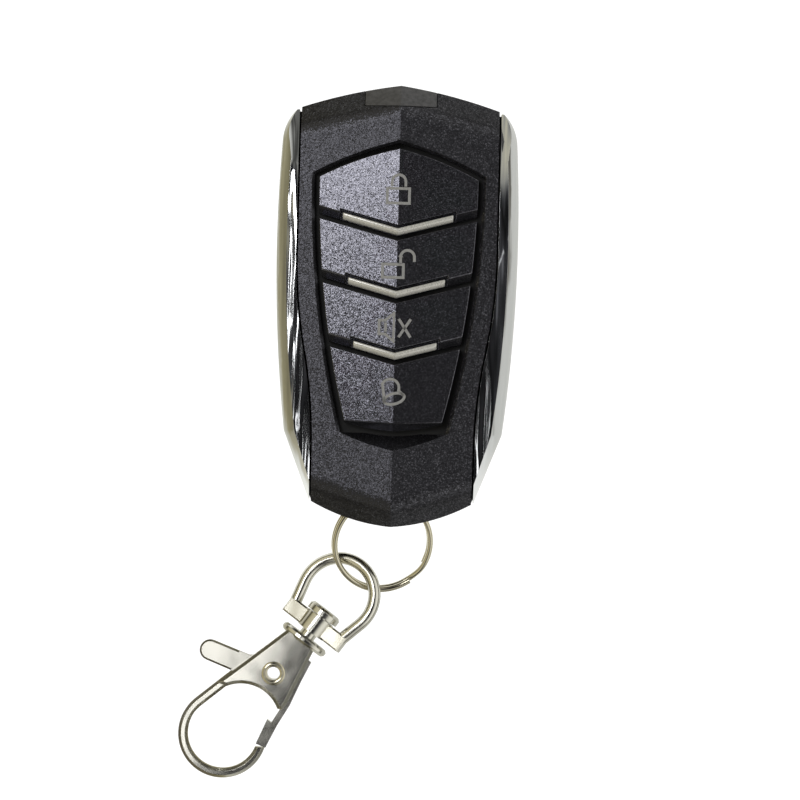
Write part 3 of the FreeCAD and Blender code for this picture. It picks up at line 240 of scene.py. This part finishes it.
MATERIALS = {
    # Painted ABS of the front shell: charcoal with fine bright flakes that scatter the light
    "flake_paint": flake_paint("charcoal_flake_paint", base="#343438", light="#4e4e54", glint="#6c6c74",
                               flake_mm=0.13, roughness=0.31, tilt=0.28),
    # Painted ABS of the keys: smoother, with flakes that lie flat, so the lit side of the ridge shines
    "key_paint": flake_paint("graphite_flake_paint", base="#4c4c54", light="#68686f", glint="#84848c",
                             flake_mm=0.12, roughness=0.14, tilt=0.08),
    # Bare black ABS of the back shell, dull with a soft sheen
    "back_plastic": moulded("spark_eroded_black_abs", "#1b1b1d", roughness=0.5,
                            grain_mm=0.25, height_mm=0.006),
    # Chrome on moulded plastic: a mirror whose waves run along the strip and draw reflections into streaks
    "trim_chrome": plated("chrome_plated_abs", "#d8dadc", roughness=0.05,
                          wave_mm=1.6, wave_height_mm=0.36, draw=(1.0, 0.09, 0.4)),
    # Hot-stamped silver foil on plastic: pale and satin, less metallic to the eye than plating
    "bar_chrome": plated("silver_foiled_key_bar", "#e4e3df", roughness=0.25,
                         wave_mm=2.0, wave_height_mm=0.01, metal=0.35),
    # Smoked polycarbonate window: dark and glossy, with a cloudy moulded inside
    "smoke_lens": clouded("smoked_polycarbonate", "ShaderNodeTexNoise", size_mm=0.7, roughness=0.22,
                          stops=[(0.3, "#4a4a4d"), (0.75, "#626266")], Detail=4.0),
    # Moulded silicone of the key mat: black and rubbery, with no gloss
    "silicone": moulded("moulded_silicone", "#161618", roughness=0.65, grain_mm=0.2, height_mm=0.003),
    # Green solder mask over glass cloth: glossy, with the weave just showing
    "board_laminate": clouded("masked_glass_epoxy", "ShaderNodeTexVoronoi", size_mm=0.6, roughness=0.3,
                              stops=[(0.0, "#0e4a22"), (1.0, "#15602c")]),
    # Nickel-plated steel can of the coin cell: smooth and softly bright
    "cell_steel": plated("nickel_plated_can", "#c9c8c4", roughness=0.2, wave_mm=1.0, wave_height_mm=0.004),
    # Drawn steel of the cell's clip and contact and of the gate spring: greyer, with a satin gloss
    "spring_steel": plated("drawn_spring_steel", "#b4b3ae", roughness=0.22,
                           wave_mm=0.6, wave_height_mm=0.003),
    # Moulded epoxy of the chip: matt black
    "black_epoxy": moulded("moulded_epoxy", "#1c1c1c", roughness=0.6, grain_mm=0.1, height_mm=0.002),
    # Gold-toned plated can of the resonator
    "can_metal": plated("plated_resonator_can", "#cfc9b8", roughness=0.18,
                        wave_mm=1.0, wave_height_mm=0.003),
    # Clear epoxy of the lamp: glossy and faintly blue
    "led_lens": moulded("clear_epoxy_lens", "#aab2c8", roughness=0.08, grain_mm=1.0, height_mm=0.0005),
    # Enamelled copper wire of the aerial coil: warm and bright
    "copper_wire": plated("enamelled_copper", "#b8703a", roughness=0.2, wave_mm=0.8, wave_height_mm=0.002),
    # Zinc-plated steel of the board screws: cool grey and satin
    "screw_steel": plated("zinc_plated_steel", "#b9bcc0", roughness=0.25,
                          wave_mm=0.5, wave_height_mm=0.003),
    # Black oxide on the steel case screws: dark, with a dull metal gleam
    "black_screw": plated("black_oxide_steel", "#2b2b2d", roughness=0.35,
                          wave_mm=0.5, wave_height_mm=0.003),
    # Moulded nylon of the switch bodies: black and slightly waxy
    "switch_black": moulded("moulded_nylon", "#1a1a1a", roughness=0.5, grain_mm=0.15, height_mm=0.003),
    # Moulded acetal of the switch plungers: brown-grey and smooth
    "plunger_plastic": moulded("moulded_acetal", "#8b8173", roughness=0.4, grain_mm=0.2, height_mm=0.002),
    # Nickel-plated wire of the split ring, and its post and the rivet like it: a warm, clean mirror
    "nickel": plated("nickel_plated_wire", "#cfc9b4", roughness=0.1, wave_mm=1.6, wave_height_mm=0.008),
    # Nickel-plated zinc casting of the bail, clasp and gate: warm, with slow waves under the gloss
    "nickel_cast": plated("nickel_plated_casting", "#d5d3ca", roughness=0.16,
                          wave_mm=4.5, wave_height_mm=0.07),
}

# Screen ink on the keys: matt light grey with thin spots
PRINT = clouded("grey_key_print", "ShaderNodeTexNoise", size_mm=0.2, roughness=0.55,
                stops=[(0.3, "#8a8a8c"), (0.6, "#a8a8a9")], Detail=5.0, Roughness=0.7)


# Mesh helpers

def linked(name, data):
    """A new object in the scene with the data given."""
    made = bpy.data.objects.new(name, data)
    bpy.context.collection.objects.link(made)
    return made


def object_from(name, work):
    """A new object from a bmesh, which is freed."""
    mesh = bpy.data.meshes.new(name)
    work.to_mesh(mesh)
    work.free()
    return linked(name, mesh)


def merged_copy(name):
    """A CAD node's mesh with its loose triangles joined."""
    work = bmesh.new()
    work.from_mesh(frame["nodes"][name].data)
    bmesh.ops.remove_doubles(work, verts=work.verts, dist=WELD)
    return work


def apply_modifiers(made):
    """Makes what the object's modifiers give its plain mesh."""
    depsgraph = bpy.context.evaluated_depsgraph_get()
    mesh = bpy.data.meshes.new_from_object(made.evaluated_get(depsgraph))
    made.modifiers.clear()
    made.data = mesh


def stand_for(made, name):
    """Lets the object ride in a node's place, on its body, and hides the node."""
    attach(made, BODY_OF[name])
    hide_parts(name)


def area_mm2(face):
    return face.calc_area() / (MM * MM)


def turn_between(edge):
    """The turn between an edge's two faces in degrees, or half a turn where it hasn't two."""
    return math.degrees(edge.calc_face_angle(0.0)) if len(edge.link_faces) == 2 else 180.0


def is_flat(face):
    """A broad face that isn't one of the steps of a curved surface, whose steps are much alike."""
    if area_mm2(face) < FLAT_AREA:
        return False
    for edge in face.edges:
        areas = sorted(area_mm2(side) for side in edge.link_faces)
        alike = areas[0] > STEP_AREA and STEP_RATIO * areas[0] > areas[-1]
        if alike and STEP_TURNS[0] < turn_between(edge) < STEP_TURNS[1]:
            return False
    return True


def corner_normal(corner, flats):
    """Flat faces keep their own normal; the narrow faces beside them turn from one to the next."""
    face = corner.face
    if face in flats:
        return face.normal.copy()

    def turn(other):
        return other.normal.angle(face.normal, 0.0)

    around = [other for other in corner.vert.link_faces if turn(other) < SMOOTH_TURN]
    level = [other for other in around if other in flats]
    joined = [other for other in level if any(edge in face.edges for edge in other.edges)]
    if level:
        return min(joined or level, key=turn).normal.copy()
    summed = sum((other.normal * other.calc_area() for other in around), Vector())
    return summed.normalized() if summed.length else face.normal.copy()


def end_bends(work):
    """Cuts both faces beside each edge where the front shell's roof falls to its ends, and gives the bends
    between the cuts: the edge's middle, a measure across that is -1 and 1 at the cuts, the normals of the
    roof and of the end, and the side of the ridge."""
    work.normal_update()
    ends = [edge for edge in work.edges if END_TURNS[0] < turn_between(edge) < END_TURNS[1]
            and min(area_mm2(side) for side in edge.link_faces) > END_AREA]
    bends = []
    for edge in ends:
        low, high = sorted(edge.link_faces, key=area_mm2, reverse=True)
        middle = (edge.verts[0].co + edge.verts[1].co) / 2
        across = (high.normal - low.normal).normalized()
        reach = END_BEND * math.cos(low.normal.angle(high.normal) / 2)
        side = math.copysign(1, middle.x)
        bends.append(Bend(middle, across / reach, low.normal.copy(), high.normal.copy(), side))
        for face in (low, high):
            inward = face.normal.cross(edge.verts[1].co - edge.verts[0].co).normalized()
            if (face.calc_center_median() - middle).dot(inward) < 0:
                inward.negate()
            bmesh.ops.bisect_plane(work, geom=[face, *face.edges, *face.verts],
                                   plane_co=middle + inward * END_BEND, plane_no=inward)
    return bends


def bent_normal(corner, bends):
    """The normal of a corner inside one of the bends, or None elsewhere."""
    for bend in bends:
        part = (corner.vert.co - bend.middle).dot(bend.across)
        facing = corner.face.normal.angle(bend.low + bend.high, math.pi) < BEND_FACING
        same_side = corner.face.calc_center_median().x * bend.side > 0
        if facing and same_side and abs(part) < BEND_EDGE:
            return (bend.low * (1 - part) + bend.high * (1 + part)).normalized()
    return None


def crowned(normal, place, crown):
    """The normal of a level face, leaned as a slightly crowned face leans there."""
    if not crown or abs(normal.z) < CROWNED_LEVEL:
        return normal
    highest, lean = crown
    outwards = Vector((-SWIVEL["axis"][1], SWIVEL["axis"][0], 0))
    distance = (place - Vector(SWIVEL["pos_m"])).dot(outwards) / MM - highest
    return (normal + outwards * distance * lean).normalized()


def soften(made, bends=(), crown=None):
    """Smooth shading by corner normals."""
    work = bmesh.new()
    work.from_mesh(made.data)
    work.normal_update()
    for face in work.faces:
        face.smooth = True
    flats = {face for face in work.faces if is_flat(face)}
    corners = [corner for face in work.faces for corner in face.loops]
    normals = [crowned(bent_normal(corner, bends) or corner_normal(corner, flats), corner.vert.co, crown)
               for corner in corners]
    work.to_mesh(made.data)
    work.free()
    made.data.normals_split_custom_set(normals)


# Every CAD node but the screws, with its edges rounded and its finish on

def dressed(name):
    """A cleaned copy of a CAD node with rounded edges, which stands for the node."""
    work = merged_copy(name)
    bmesh.ops.dissolve_limit(work, angle_limit=LEVEL_TURN, verts=work.verts, edges=work.edges)
    bends = end_bends(work) if name == "upper_case" else ()
    made = object_from(name + "_finished", work)
    made.data.materials.append(MATERIALS[SLOT_OF[name]])
    if name in EDGE_ROUND:
        rounding = made.modifiers.new("edge_round", "BEVEL")
        rounding.width = EDGE_ROUND[name] * MM
        rounding.segments = ROUND_STEPS
        rounding.limit_method = "ANGLE"
        rounding.angle_limit = ROUNDED_TURN
        rounding.use_clamp_overlap = True
        apply_modifiers(made)
    soften(made, bends, CROWN.get(name))
    stand_for(made, name)


# The two sets of screws, and which way their heads face
HEADS_UP = {"case_screws": False, "board_screws": True}

for name in sorted(frame["nodes"]):
    if name not in HEADS_UP:
        dressed(name)


# Screws with rounded heads and a cross recess, one node group for both sets

SCREW_INPUTS = {
    "Places": "NodeSocketGeometry", "Head radius": "NodeSocketFloat", "Head height": "NodeSocketFloat",
    "Shank radius": "NodeSocketFloat", "Screw length": "NodeSocketFloat", "Edge": "NodeSocketFloat",
    "Slot width": "NodeSocketFloat", "Slot depth": "NodeSocketFloat", "Turn": "NodeSocketVector",
    "Finish": "NodeSocketMaterial",
}

# What both sets share, in millimetres: the chamfer at the head's edge, and the width and depth of its slots
SCREW_EDGE = 0.18
SLOT_WIDTH = 0.42
SLOT_DEPTH = 0.6
SLOT_TURN = math.radians(20)

# Shares: where the shank starts inside the head, how long a slot is in radii of the head's face, and how
# deep the second slot is, so that the two floors don't lie in one plane
SHANK_START = 0.9
SLOT_REACH = 1.3
SECOND_SLOT = 0.92

# Sides of a round bar, and how near in millimetres corners are merged
SCREW_SIDES = 40
SCREW_WELD = 0.002

# Points of a CAD screw: one nearer the axis than the first is no part of a wall, and one that is within the
# second of the widest is on the head's rim
AXIS_NEAR = 0.2 * MM
RIM_NEAR = 0.1 * MM


def screw_group():
    """Puts a screw, drawn in millimetres, at each point with its head's outer face on the point."""
    group = bpy.data.node_groups.new("cross_screw", "GeometryNodeTree")
    for label, kind in SCREW_INPUTS.items():
        group.interface.new_socket(label, in_out="INPUT", socket_type=kind)
    group.interface.new_socket("Screws", in_out="OUTPUT", socket_type="NodeSocketGeometry")
    given = node(group, "NodeGroupInput").outputs

    def cylinder(radius, low, high):
        """A round bar between two depths under the head's face, and its top."""
        depth = node(group, "ShaderNodeMath", {0: low, 1: high}, operation="SUBTRACT")
        both = node(group, "ShaderNodeMath", {0: low, 1: high}, operation="ADD")
        middle = node(group, "ShaderNodeMath", {0: both, 1: -0.5}, operation="MULTIPLY")
        bar = node(group, "GeometryNodeMeshCylinder",
                   {"Vertices": SCREW_SIDES, "Radius": radius, "Depth": depth})
        offset = node(group, "ShaderNodeCombineXYZ", {"Z": middle})
        placed = node(group, "GeometryNodeTransform", {"Geometry": bar, "Translation": offset})
        return placed, bar.outputs["Top"]

    head, crown = cylinder(given["Head radius"], given["Head height"], given["Edge"])
    raised = node(group, "GeometryNodeExtrudeMesh",
                  {"Mesh": head, "Selection": crown, "Offset Scale": given["Edge"], "Individual": False})
    face = node(group, "ShaderNodeMath", {0: given["Head radius"], 1: given["Edge"]}, operation="SUBTRACT")
    narrowed = node(group, "ShaderNodeMath", {0: face, 1: given["Head radius"]}, operation="DIVIDE")
    rounded = node(group, "GeometryNodeScaleElements",
                   {"Geometry": raised, "Selection": raised.outputs["Top"], "Scale": narrowed})
    start = node(group, "ShaderNodeMath", {0: given["Head height"], 1: SHANK_START}, operation="MULTIPLY")
    shank, _ = cylinder(given["Shank radius"], given["Screw length"], start)
    solid = node(group, "GeometryNodeMeshBoolean", {"Mesh 2": [rounded, shank]}, operation="UNION")

    length = node(group, "ShaderNodeMath", {0: face, 1: SLOT_REACH}, operation="MULTIPLY")
    height = node(group, "ShaderNodeMath", {0: given["Slot depth"], 1: 2.0}, operation="MULTIPLY")
    slots = []
    for x, y, share in ((length, given["Slot width"], 1.0), (given["Slot width"], length, SECOND_SLOT)):
        z = node(group, "ShaderNodeMath", {0: height, 1: share}, operation="MULTIPLY")
        size = node(group, "ShaderNodeCombineXYZ", {"X": x, "Y": y, "Z": z})
        slots.append(node(group, "GeometryNodeMeshCube", {"Size": size}))
    recessed = node(group, "GeometryNodeMeshBoolean", {"Mesh 1": solid, "Mesh 2": slots},
                    operation="DIFFERENCE")
    joined = node(group, "GeometryNodeMergeByDistance", {"Geometry": recessed, "Distance": SCREW_WELD})

    placed = node(group, "GeometryNodeInstanceOnPoints",
                  {"Points": given["Places"], "Instance": joined, "Rotation": given["Turn"],
                   "Scale": (MM, MM, MM)})
    real = node(group, "GeometryNodeRealizeInstances", {"Geometry": placed})
    finished = node(group, "GeometryNodeSetMaterial", {"Geometry": real, "Material": given["Finish"]})
    node(group, "NodeGroupOutput", {"Screws": finished})
    return group


def islands(name):
    """The separate solids of a node, each as a list of its vertices' places."""
    work = merged_copy(name)
    reached = set()
    found = []
    for start in work.verts:
        if start in reached:
            continue
        reached.add(start)
        front = [start]
        places = []
        while front:
            vert = front.pop()
            places.append(vert.co.copy())
            for edge in vert.link_edges:
                other = edge.other_vert(vert)
                if other not in reached:
                    reached.add(other)
                    front.append(other)
        found.append(places)
    work.free()
    return found


def middle_of(places):
    """The mean X and Y of some places."""
    return [sum(place[i] for place in places) / len(places) for i in (0, 1)]


def screw_set(name, group, head_up):
    """The node's screws at their places, sized from the node's own solids."""
    way = 1 if head_up else -1
    solids = islands(name)
    x, y = middle_of(solids[0])
    points = [(math.hypot(place.x - x, place.y - y), place.z * way) for place in solids[0]]
    head = max(radius for radius, _ in points)
    shank = min(radius for radius, _ in points if radius > AXIS_NEAR)
    top = max(level for _, level in points)
    under = min(level for radius, level in points if radius > head - RIM_NEAR)
    bottom = min(level for _, level in points)
    mesh = bpy.data.meshes.new(name)
    mesh.from_pydata([(*middle_of(solid), top * way) for solid in solids], [], [])
    made = linked(name + "_finished", mesh)
    settings = {
        "Head radius": head / MM, "Head height": (top - under) / MM, "Shank radius": shank / MM,
        "Screw length": (top - bottom) / MM, "Edge": SCREW_EDGE, "Slot width": SLOT_WIDTH,
        "Slot depth": SLOT_DEPTH, "Turn": (0.0 if head_up else math.pi, 0.0, SLOT_TURN),
        "Finish": MATERIALS[SLOT_OF[name]],
    }
    builder = made.modifiers.new("screws", "NODES")
    builder.node_group = group
    for socket in group.interface.items_tree:
        if socket.name in settings:
            builder[socket.identifier] = settings[socket.name]
    apply_modifiers(made)
    made.data.materials.clear()
    made.data.materials.append(MATERIALS[SLOT_OF[name]])
    made.data.polygons.foreach_set("material_index", [0] * len(made.data.polygons))
    soften(made)
    stand_for(made, name)


SCREW_GROUP = screw_group()
for name, head_up in HEADS_UP.items():
    screw_set(name, SCREW_GROUP, head_up)


# Pictograms printed on the keys, drawn in millimetres

def ribbon(work, points, width, closed):
    """A flat stroke of one width along points, with mitred corners."""
    count = len(points)
    rims = []
    for i, point in enumerate(points):
        here = Vector(point)
        directions = []
        if closed or i > 0:
            directions.append((here - Vector(points[i - 1])).normalized())
        if closed or i < count - 1:
            directions.append((Vector(points[(i + 1) % count]) - here).normalized())
        sideways = [Vector((-direction.y, direction.x)) for direction in directions]
        side = sum(sideways, Vector((0, 0))).normalized()
        stretch = 1 / max(MITRE_LIMIT, side.dot(sideways[0]))
        rims.append((here + side * width / 2 * stretch, here - side * width / 2 * stretch))
    corners = [[work.verts.new((p.x, p.y, 0)) for p in pair] for pair in rims]
    for i in range(count if closed else count - 1):
        j = (i + 1) % count
        work.faces.new((corners[i][0], corners[i][1], corners[j][1], corners[j][0]))


def arc_points(centre, radius, start, end, count=14, squash=1.0, turn=0.0):
    """Points along an arc between two angles, on a circle that may be squashed and then turned."""
    lean = math.radians(turn)
    points = []
    for i in range(count + 1):
        angle = math.radians(start + (end - start) * i / count)
        x = radius * math.cos(angle)
        y = radius * squash * math.sin(angle)
        points.append((centre[0] + x * math.cos(lean) - y * math.sin(lean),
                       centre[1] + x * math.sin(lean) + y * math.cos(lean)))
    return points


def box_points(x0, y0, x1, y1):
    return [(x0, y0), (x1, y0), (x1, y1), (x0, y1)]


def printed(sign, strokes):
    """A sign's strokes, laid on the sloping face of its key as a film of ink."""
    key = "button_" + sign
    work = bmesh.new()
    for points, closed in strokes:
        ribbon(work, points, STROKE, closed)
    bmesh.ops.bisect_plane(work, geom=work.verts[:] + work.edges[:] + work.faces[:], dist=RIDGE_NEAR,
                           plane_co=(0, 0, 0), plane_no=(1, 0, 0))
    bmesh.ops.recalc_face_normals(work, faces=work.faces)
    for face in work.faces:
        if face.normal.z < 0:
            face.normal_flip()
    for vert in work.verts:
        x = vert.co.x * MM
        vert.co = Vector((x, vert.co.y * MM, KEY_RIDGE - ROOF_SLOPE * abs(x) + INK_LIFT))
    top = bmesh.ops.extrude_face_region(work, geom=work.faces[:])
    for item in top["geom"]:
        if isinstance(item, bmesh.types.BMVert):
            item.co.z += INK_FILM
    bmesh.ops.recalc_face_normals(work, faces=work.faces)
    work.faces.sort(key=lambda face: face.calc_center_median().dot(FACE_ORDER))
    made = object_from("print_" + sign, work)
    made.data.materials.append(PRINT)
    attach(made, key)


def padlock_shut():
    """A box with a bow that ends in it."""
    shackle = [(BOW, 18.3)] + arc_points((0.0, 19.05), BOW, 0, 180) + [(-BOW, 18.3)]
    return [(box_points(-1.75, 15.75, 1.65, 18.0), CLOSED), (shackle, OPEN)]


def padlock_open():
    """A box with a bow that has swung out to its right."""
    shackle = [(0.55, 6.4), (0.55, 7.5)] + arc_points((1.6, 7.5), BOW, 180, 0) + [(2.65, 6.8)]
    return [(box_points(-2.2, 4.35, 1.0, 6.35), CLOSED), (shackle, OPEN)]


def speaker_off():
    """A speaker with a stroke in its box, and a cross beside it."""
    speaker = [(-2.5, -4.35), (-1.55, -4.35), (-0.25, -5.45), (-0.25, -1.15), (-1.55, -2.25), (-2.5, -2.25)]
    back = [(-1.5, -2.6), (-1.5, -4.0)]
    left, right, top, bottom = 0.5, 2.35, -2.0, -4.8
    cross = [([(left, top), (right, bottom)], OPEN), ([(right, top), (left, bottom)], OPEN)]
    return [(speaker, CLOSED), (back, OPEN)] + cross


def leaning_bell():
    """A bell seen a little from below: its dome and sides, and the mouth as a squashed circle."""
    lean = -22
    mouth_lean = 16.5
    dome = arc_points((-0.55, -12.6), 1.35, 5, 175, turn=lean)
    sides = [(-1.35, -14.9)] + list(reversed(dome)) + [(1.55, -13.7)]
    mouth = arc_points((0.1, -14.25), 1.6, 0, 345, count=24, squash=0.5, turn=mouth_lean)
    return [(sides, OPEN), (mouth, CLOSED)]


printed("lock", padlock_shut())
printed("unlock", padlock_open())
printed("mute", speaker_off())
printed("bell", leaning_bell())


# Studio

FLOOR_REACH = 1.6
FLOOR_LEVEL = -0.02 * MM

# How much of the card is its painted light in reflections, and how much the camera sees through it
MIRRORED_SHARE = 0.88
CLEAR_SHARE = 0.95

# Painted light on the card, seen only as the chrome mirrors it: tones across it at places in millimetres,
# dark beyond the remote and pale under it, and a painted band of light across its foot end, in linear grey
CARD_SPAN = (-200, 200)
CARD_PAINTED_LIGHT = [
    (-200, "#3a3830"), (-48, "#5e5642"), (-32, "#857d5a"), (-23.2, "#a39b78"), (-18.4, "#e6e6dc"),
    (0, "#c8c8c0"), (20, "#dcdcd6"), (30, "#dcdcd6"), (35.2, "#77736a"), (44, "#4a463e"), (80, "#8a8a84"),
    (200, "#3a3834"),
]
FOOT_SPAN = (-60, -10)
NO_LIGHT = (0.0, 0.0, 0.0, 1.0)
FOOT_LIGHT = (0.4, 0.4, 0.4, 1.0)
FOOT_PAINTED_BAND = [(-47.5, NO_LIGHT), (-40, FOOT_LIGHT), (-30, FOOT_LIGHT), (-22.5, NO_LIGHT)]

# The walls round the remote: tones by how high and how far across they are seen, and the plain bright white
BRIGHT = (1.2, 1.2, 1.2, 1.0)
WALL_TONES = [
    (0.0, "#5a594e"), (0.15, "#77766c"), (0.3, "#f2f1ea"), (0.66, "#f2f1ea"), (0.82, "#d4d3cc"),
    (0.9, "#66666a"), (0.95, "#404042"),
]
SIDE_TONES = [
    (0.0, "#b4ac88"), (0.22, "#efe9d2"), (0.4, "#b8b8b8"), (0.5, "#525252"), (0.6, "#b8b8b8"),
    (0.8, BRIGHT),
]

# The walls dim to this share at the foot end, over this stretch of directions along Y
FOOT_DIM = 0.2
FOOT_WAYS = (-1.0, -0.6)


def tones_along(tree, place, span, tones):
    """Tones along a line across the card, between the ends of a span."""
    low, high = span
    along = node(tree, "ShaderNodeMapRange", {"Value": place, "From Min": low * MM, "From Max": high * MM})
    stops = [((at - low) / (high - low), tone) for at, tone in tones]
    return node(tree, "ShaderNodeValToRGB", {"Fac": along}, stops=stops)


def white_card():
    """Pale card. Metal mirrors it with painted light: an emission, seen only in reflections, that lays
    uneven tones across it. The camera looks through it at the white world, so that nothing of the clasp is
    hidden where it swings below."""
    material, tree = new_material("white_card")
    rays = node(tree, "ShaderNodeLightPath").outputs
    card = node(tree, "ShaderNodeBsdfDiffuse", {"Color": linear("#f2f2f2")})
    own_place = node(tree, "ShaderNodeTexCoord").outputs["Object"]
    spot = node(tree, "ShaderNodeSeparateXYZ", {"Vector": own_place}).outputs
    across = tones_along(tree, spot["X"], CARD_SPAN, CARD_PAINTED_LIGHT)
    foot = tones_along(tree, spot["Y"], FOOT_SPAN, FOOT_PAINTED_BAND)
    # Painted light: these tones shine from the card as an emission that only reflections see
    lit = node(tree, "ShaderNodeVectorMath", {0: across, 1: foot}, operation="ADD")
    painted_glow = node(tree, "ShaderNodeEmission", {"Color": lit, "Strength": 1.0})
    glossy = node(tree, "ShaderNodeMath", {0: rays["Is Glossy Ray"], 1: MIRRORED_SHARE},
                  operation="MULTIPLY")
    mirrored = node(tree, "ShaderNodeMixShader", {0: glossy, 1: card, 2: painted_glow})
    seen = node(tree, "ShaderNodeMath", {0: rays["Is Camera Ray"], 1: CLEAR_SHARE}, operation="MULTIPLY")
    clear = node(tree, "ShaderNodeBsdfTransparent")
    shader = node(tree, "ShaderNodeMixShader", {0: seen, 1: mirrored, 2: clear})
    node(tree, "ShaderNodeOutputMaterial", {"Surface": shader})
    return material


def stage_floor():
    """A square of card under the remote."""
    work = bmesh.new()
    work.faces.new([work.verts.new((x * FLOOR_REACH, y * FLOOR_REACH, FLOOR_LEVEL))
                    for x, y in box_points(-1, -1, 1, 1)])
    floor = object_from("floor", work)
    floor.data.materials.append(white_card())


def studio_world():
    """Pale walls, dim low down and at the foot end, round a dark ceiling. The camera sees white."""
    world = bpy.data.worlds.new("light_tent")
    bpy.context.scene.world = world
    world.use_nodes = True
    tree = world.node_tree
    tree.nodes.clear()
    direction = node(tree, "ShaderNodeTexCoord").outputs["Generated"]
    way = node(tree, "ShaderNodeSeparateXYZ", {"Vector": direction}).outputs
    walls = node(tree, "ShaderNodeValToRGB", {"Fac": way["Z"]}, stops=WALL_TONES)
    across = node(tree, "ShaderNodeMapRange", {"Value": way["X"], "From Min": -1.0})
    sides = node(tree, "ShaderNodeValToRGB", {"Fac": across}, stops=SIDE_TONES)
    foot = node(tree, "ShaderNodeMapRange", {"Value": way["Y"], "From Min": FOOT_WAYS[0],
                                             "From Max": FOOT_WAYS[1], "To Min": FOOT_DIM, "To Max": 1.0})
    dimmed = node(tree, "ShaderNodeVectorMath", {0: walls, 1: foot}, operation="MULTIPLY")
    tinted = node(tree, "ShaderNodeVectorMath", {0: dimmed, 1: sides}, operation="MULTIPLY")
    seen = node(tree, "ShaderNodeLightPath").outputs["Is Camera Ray"]
    tone = node(tree, "ShaderNodeMix", {"Factor": seen, 6: tinted, 7: BRIGHT}, data_type="RGBA")
    back = node(tree, "ShaderNodeBackground", {"Color": tone.outputs[2], "Strength": 1.0})
    node(tree, "ShaderNodeOutputWorld", {"Surface": back})


def softbox(name, place, aim, size, power):
    """A rectangular lamp in metres and watts."""
    lamp = bpy.data.lights.new(name, "AREA")
    lamp.shape = "RECTANGLE"
    lamp.size, lamp.size_y = size
    lamp.energy = power
    made = linked(name, lamp)
    made.location = place
    made.rotation_euler = (Vector(aim) - Vector(place)).to_track_quat("-Z", "Y").to_euler()


def photo_camera():
    """Looks straight down and frames what the photograph frames."""
    lens = bpy.data.cameras.new("camera")
    lens.sensor_width = SENSOR_MM
    lens.lens = SENSOR_MM * CAMERA_HEIGHT / PHOTO_WIDTH
    lens.clip_start = CAMERA_NEAR
    made = linked("camera", lens)
    made.location = (*PHOTO_CENTRE, CAMERA_HEIGHT + FRAMED_LEVEL)
    made.rotation_euler = (0, 0, PHOTO_ROLL)
    bpy.context.scene.camera = made


stage_floor()
studio_world()

# The first stands where the keys' left sides mirror it, the second lights the right edges, and the third
# stands where the clasp's flat faces mirror it
softbox("key_softbox", place=(-0.20, 0.147, 0.64), aim=(0, 0, 0), size=(0.21, 0.2), power=0.82)
softbox("edge_strip", place=(0.40, 0.1, 0.64), aim=(0, 0, 0), size=(0.03, 0.4), power=0.02)
softbox("clasp_softbox", place=(-0.066, -0.086, 0.64), aim=(-0.02, -0.06, 0), size=(0.09, 0.09),
        power=0.062)
photo_camera()
bpy.context.scene.view_settings.view_transform = "Standard"
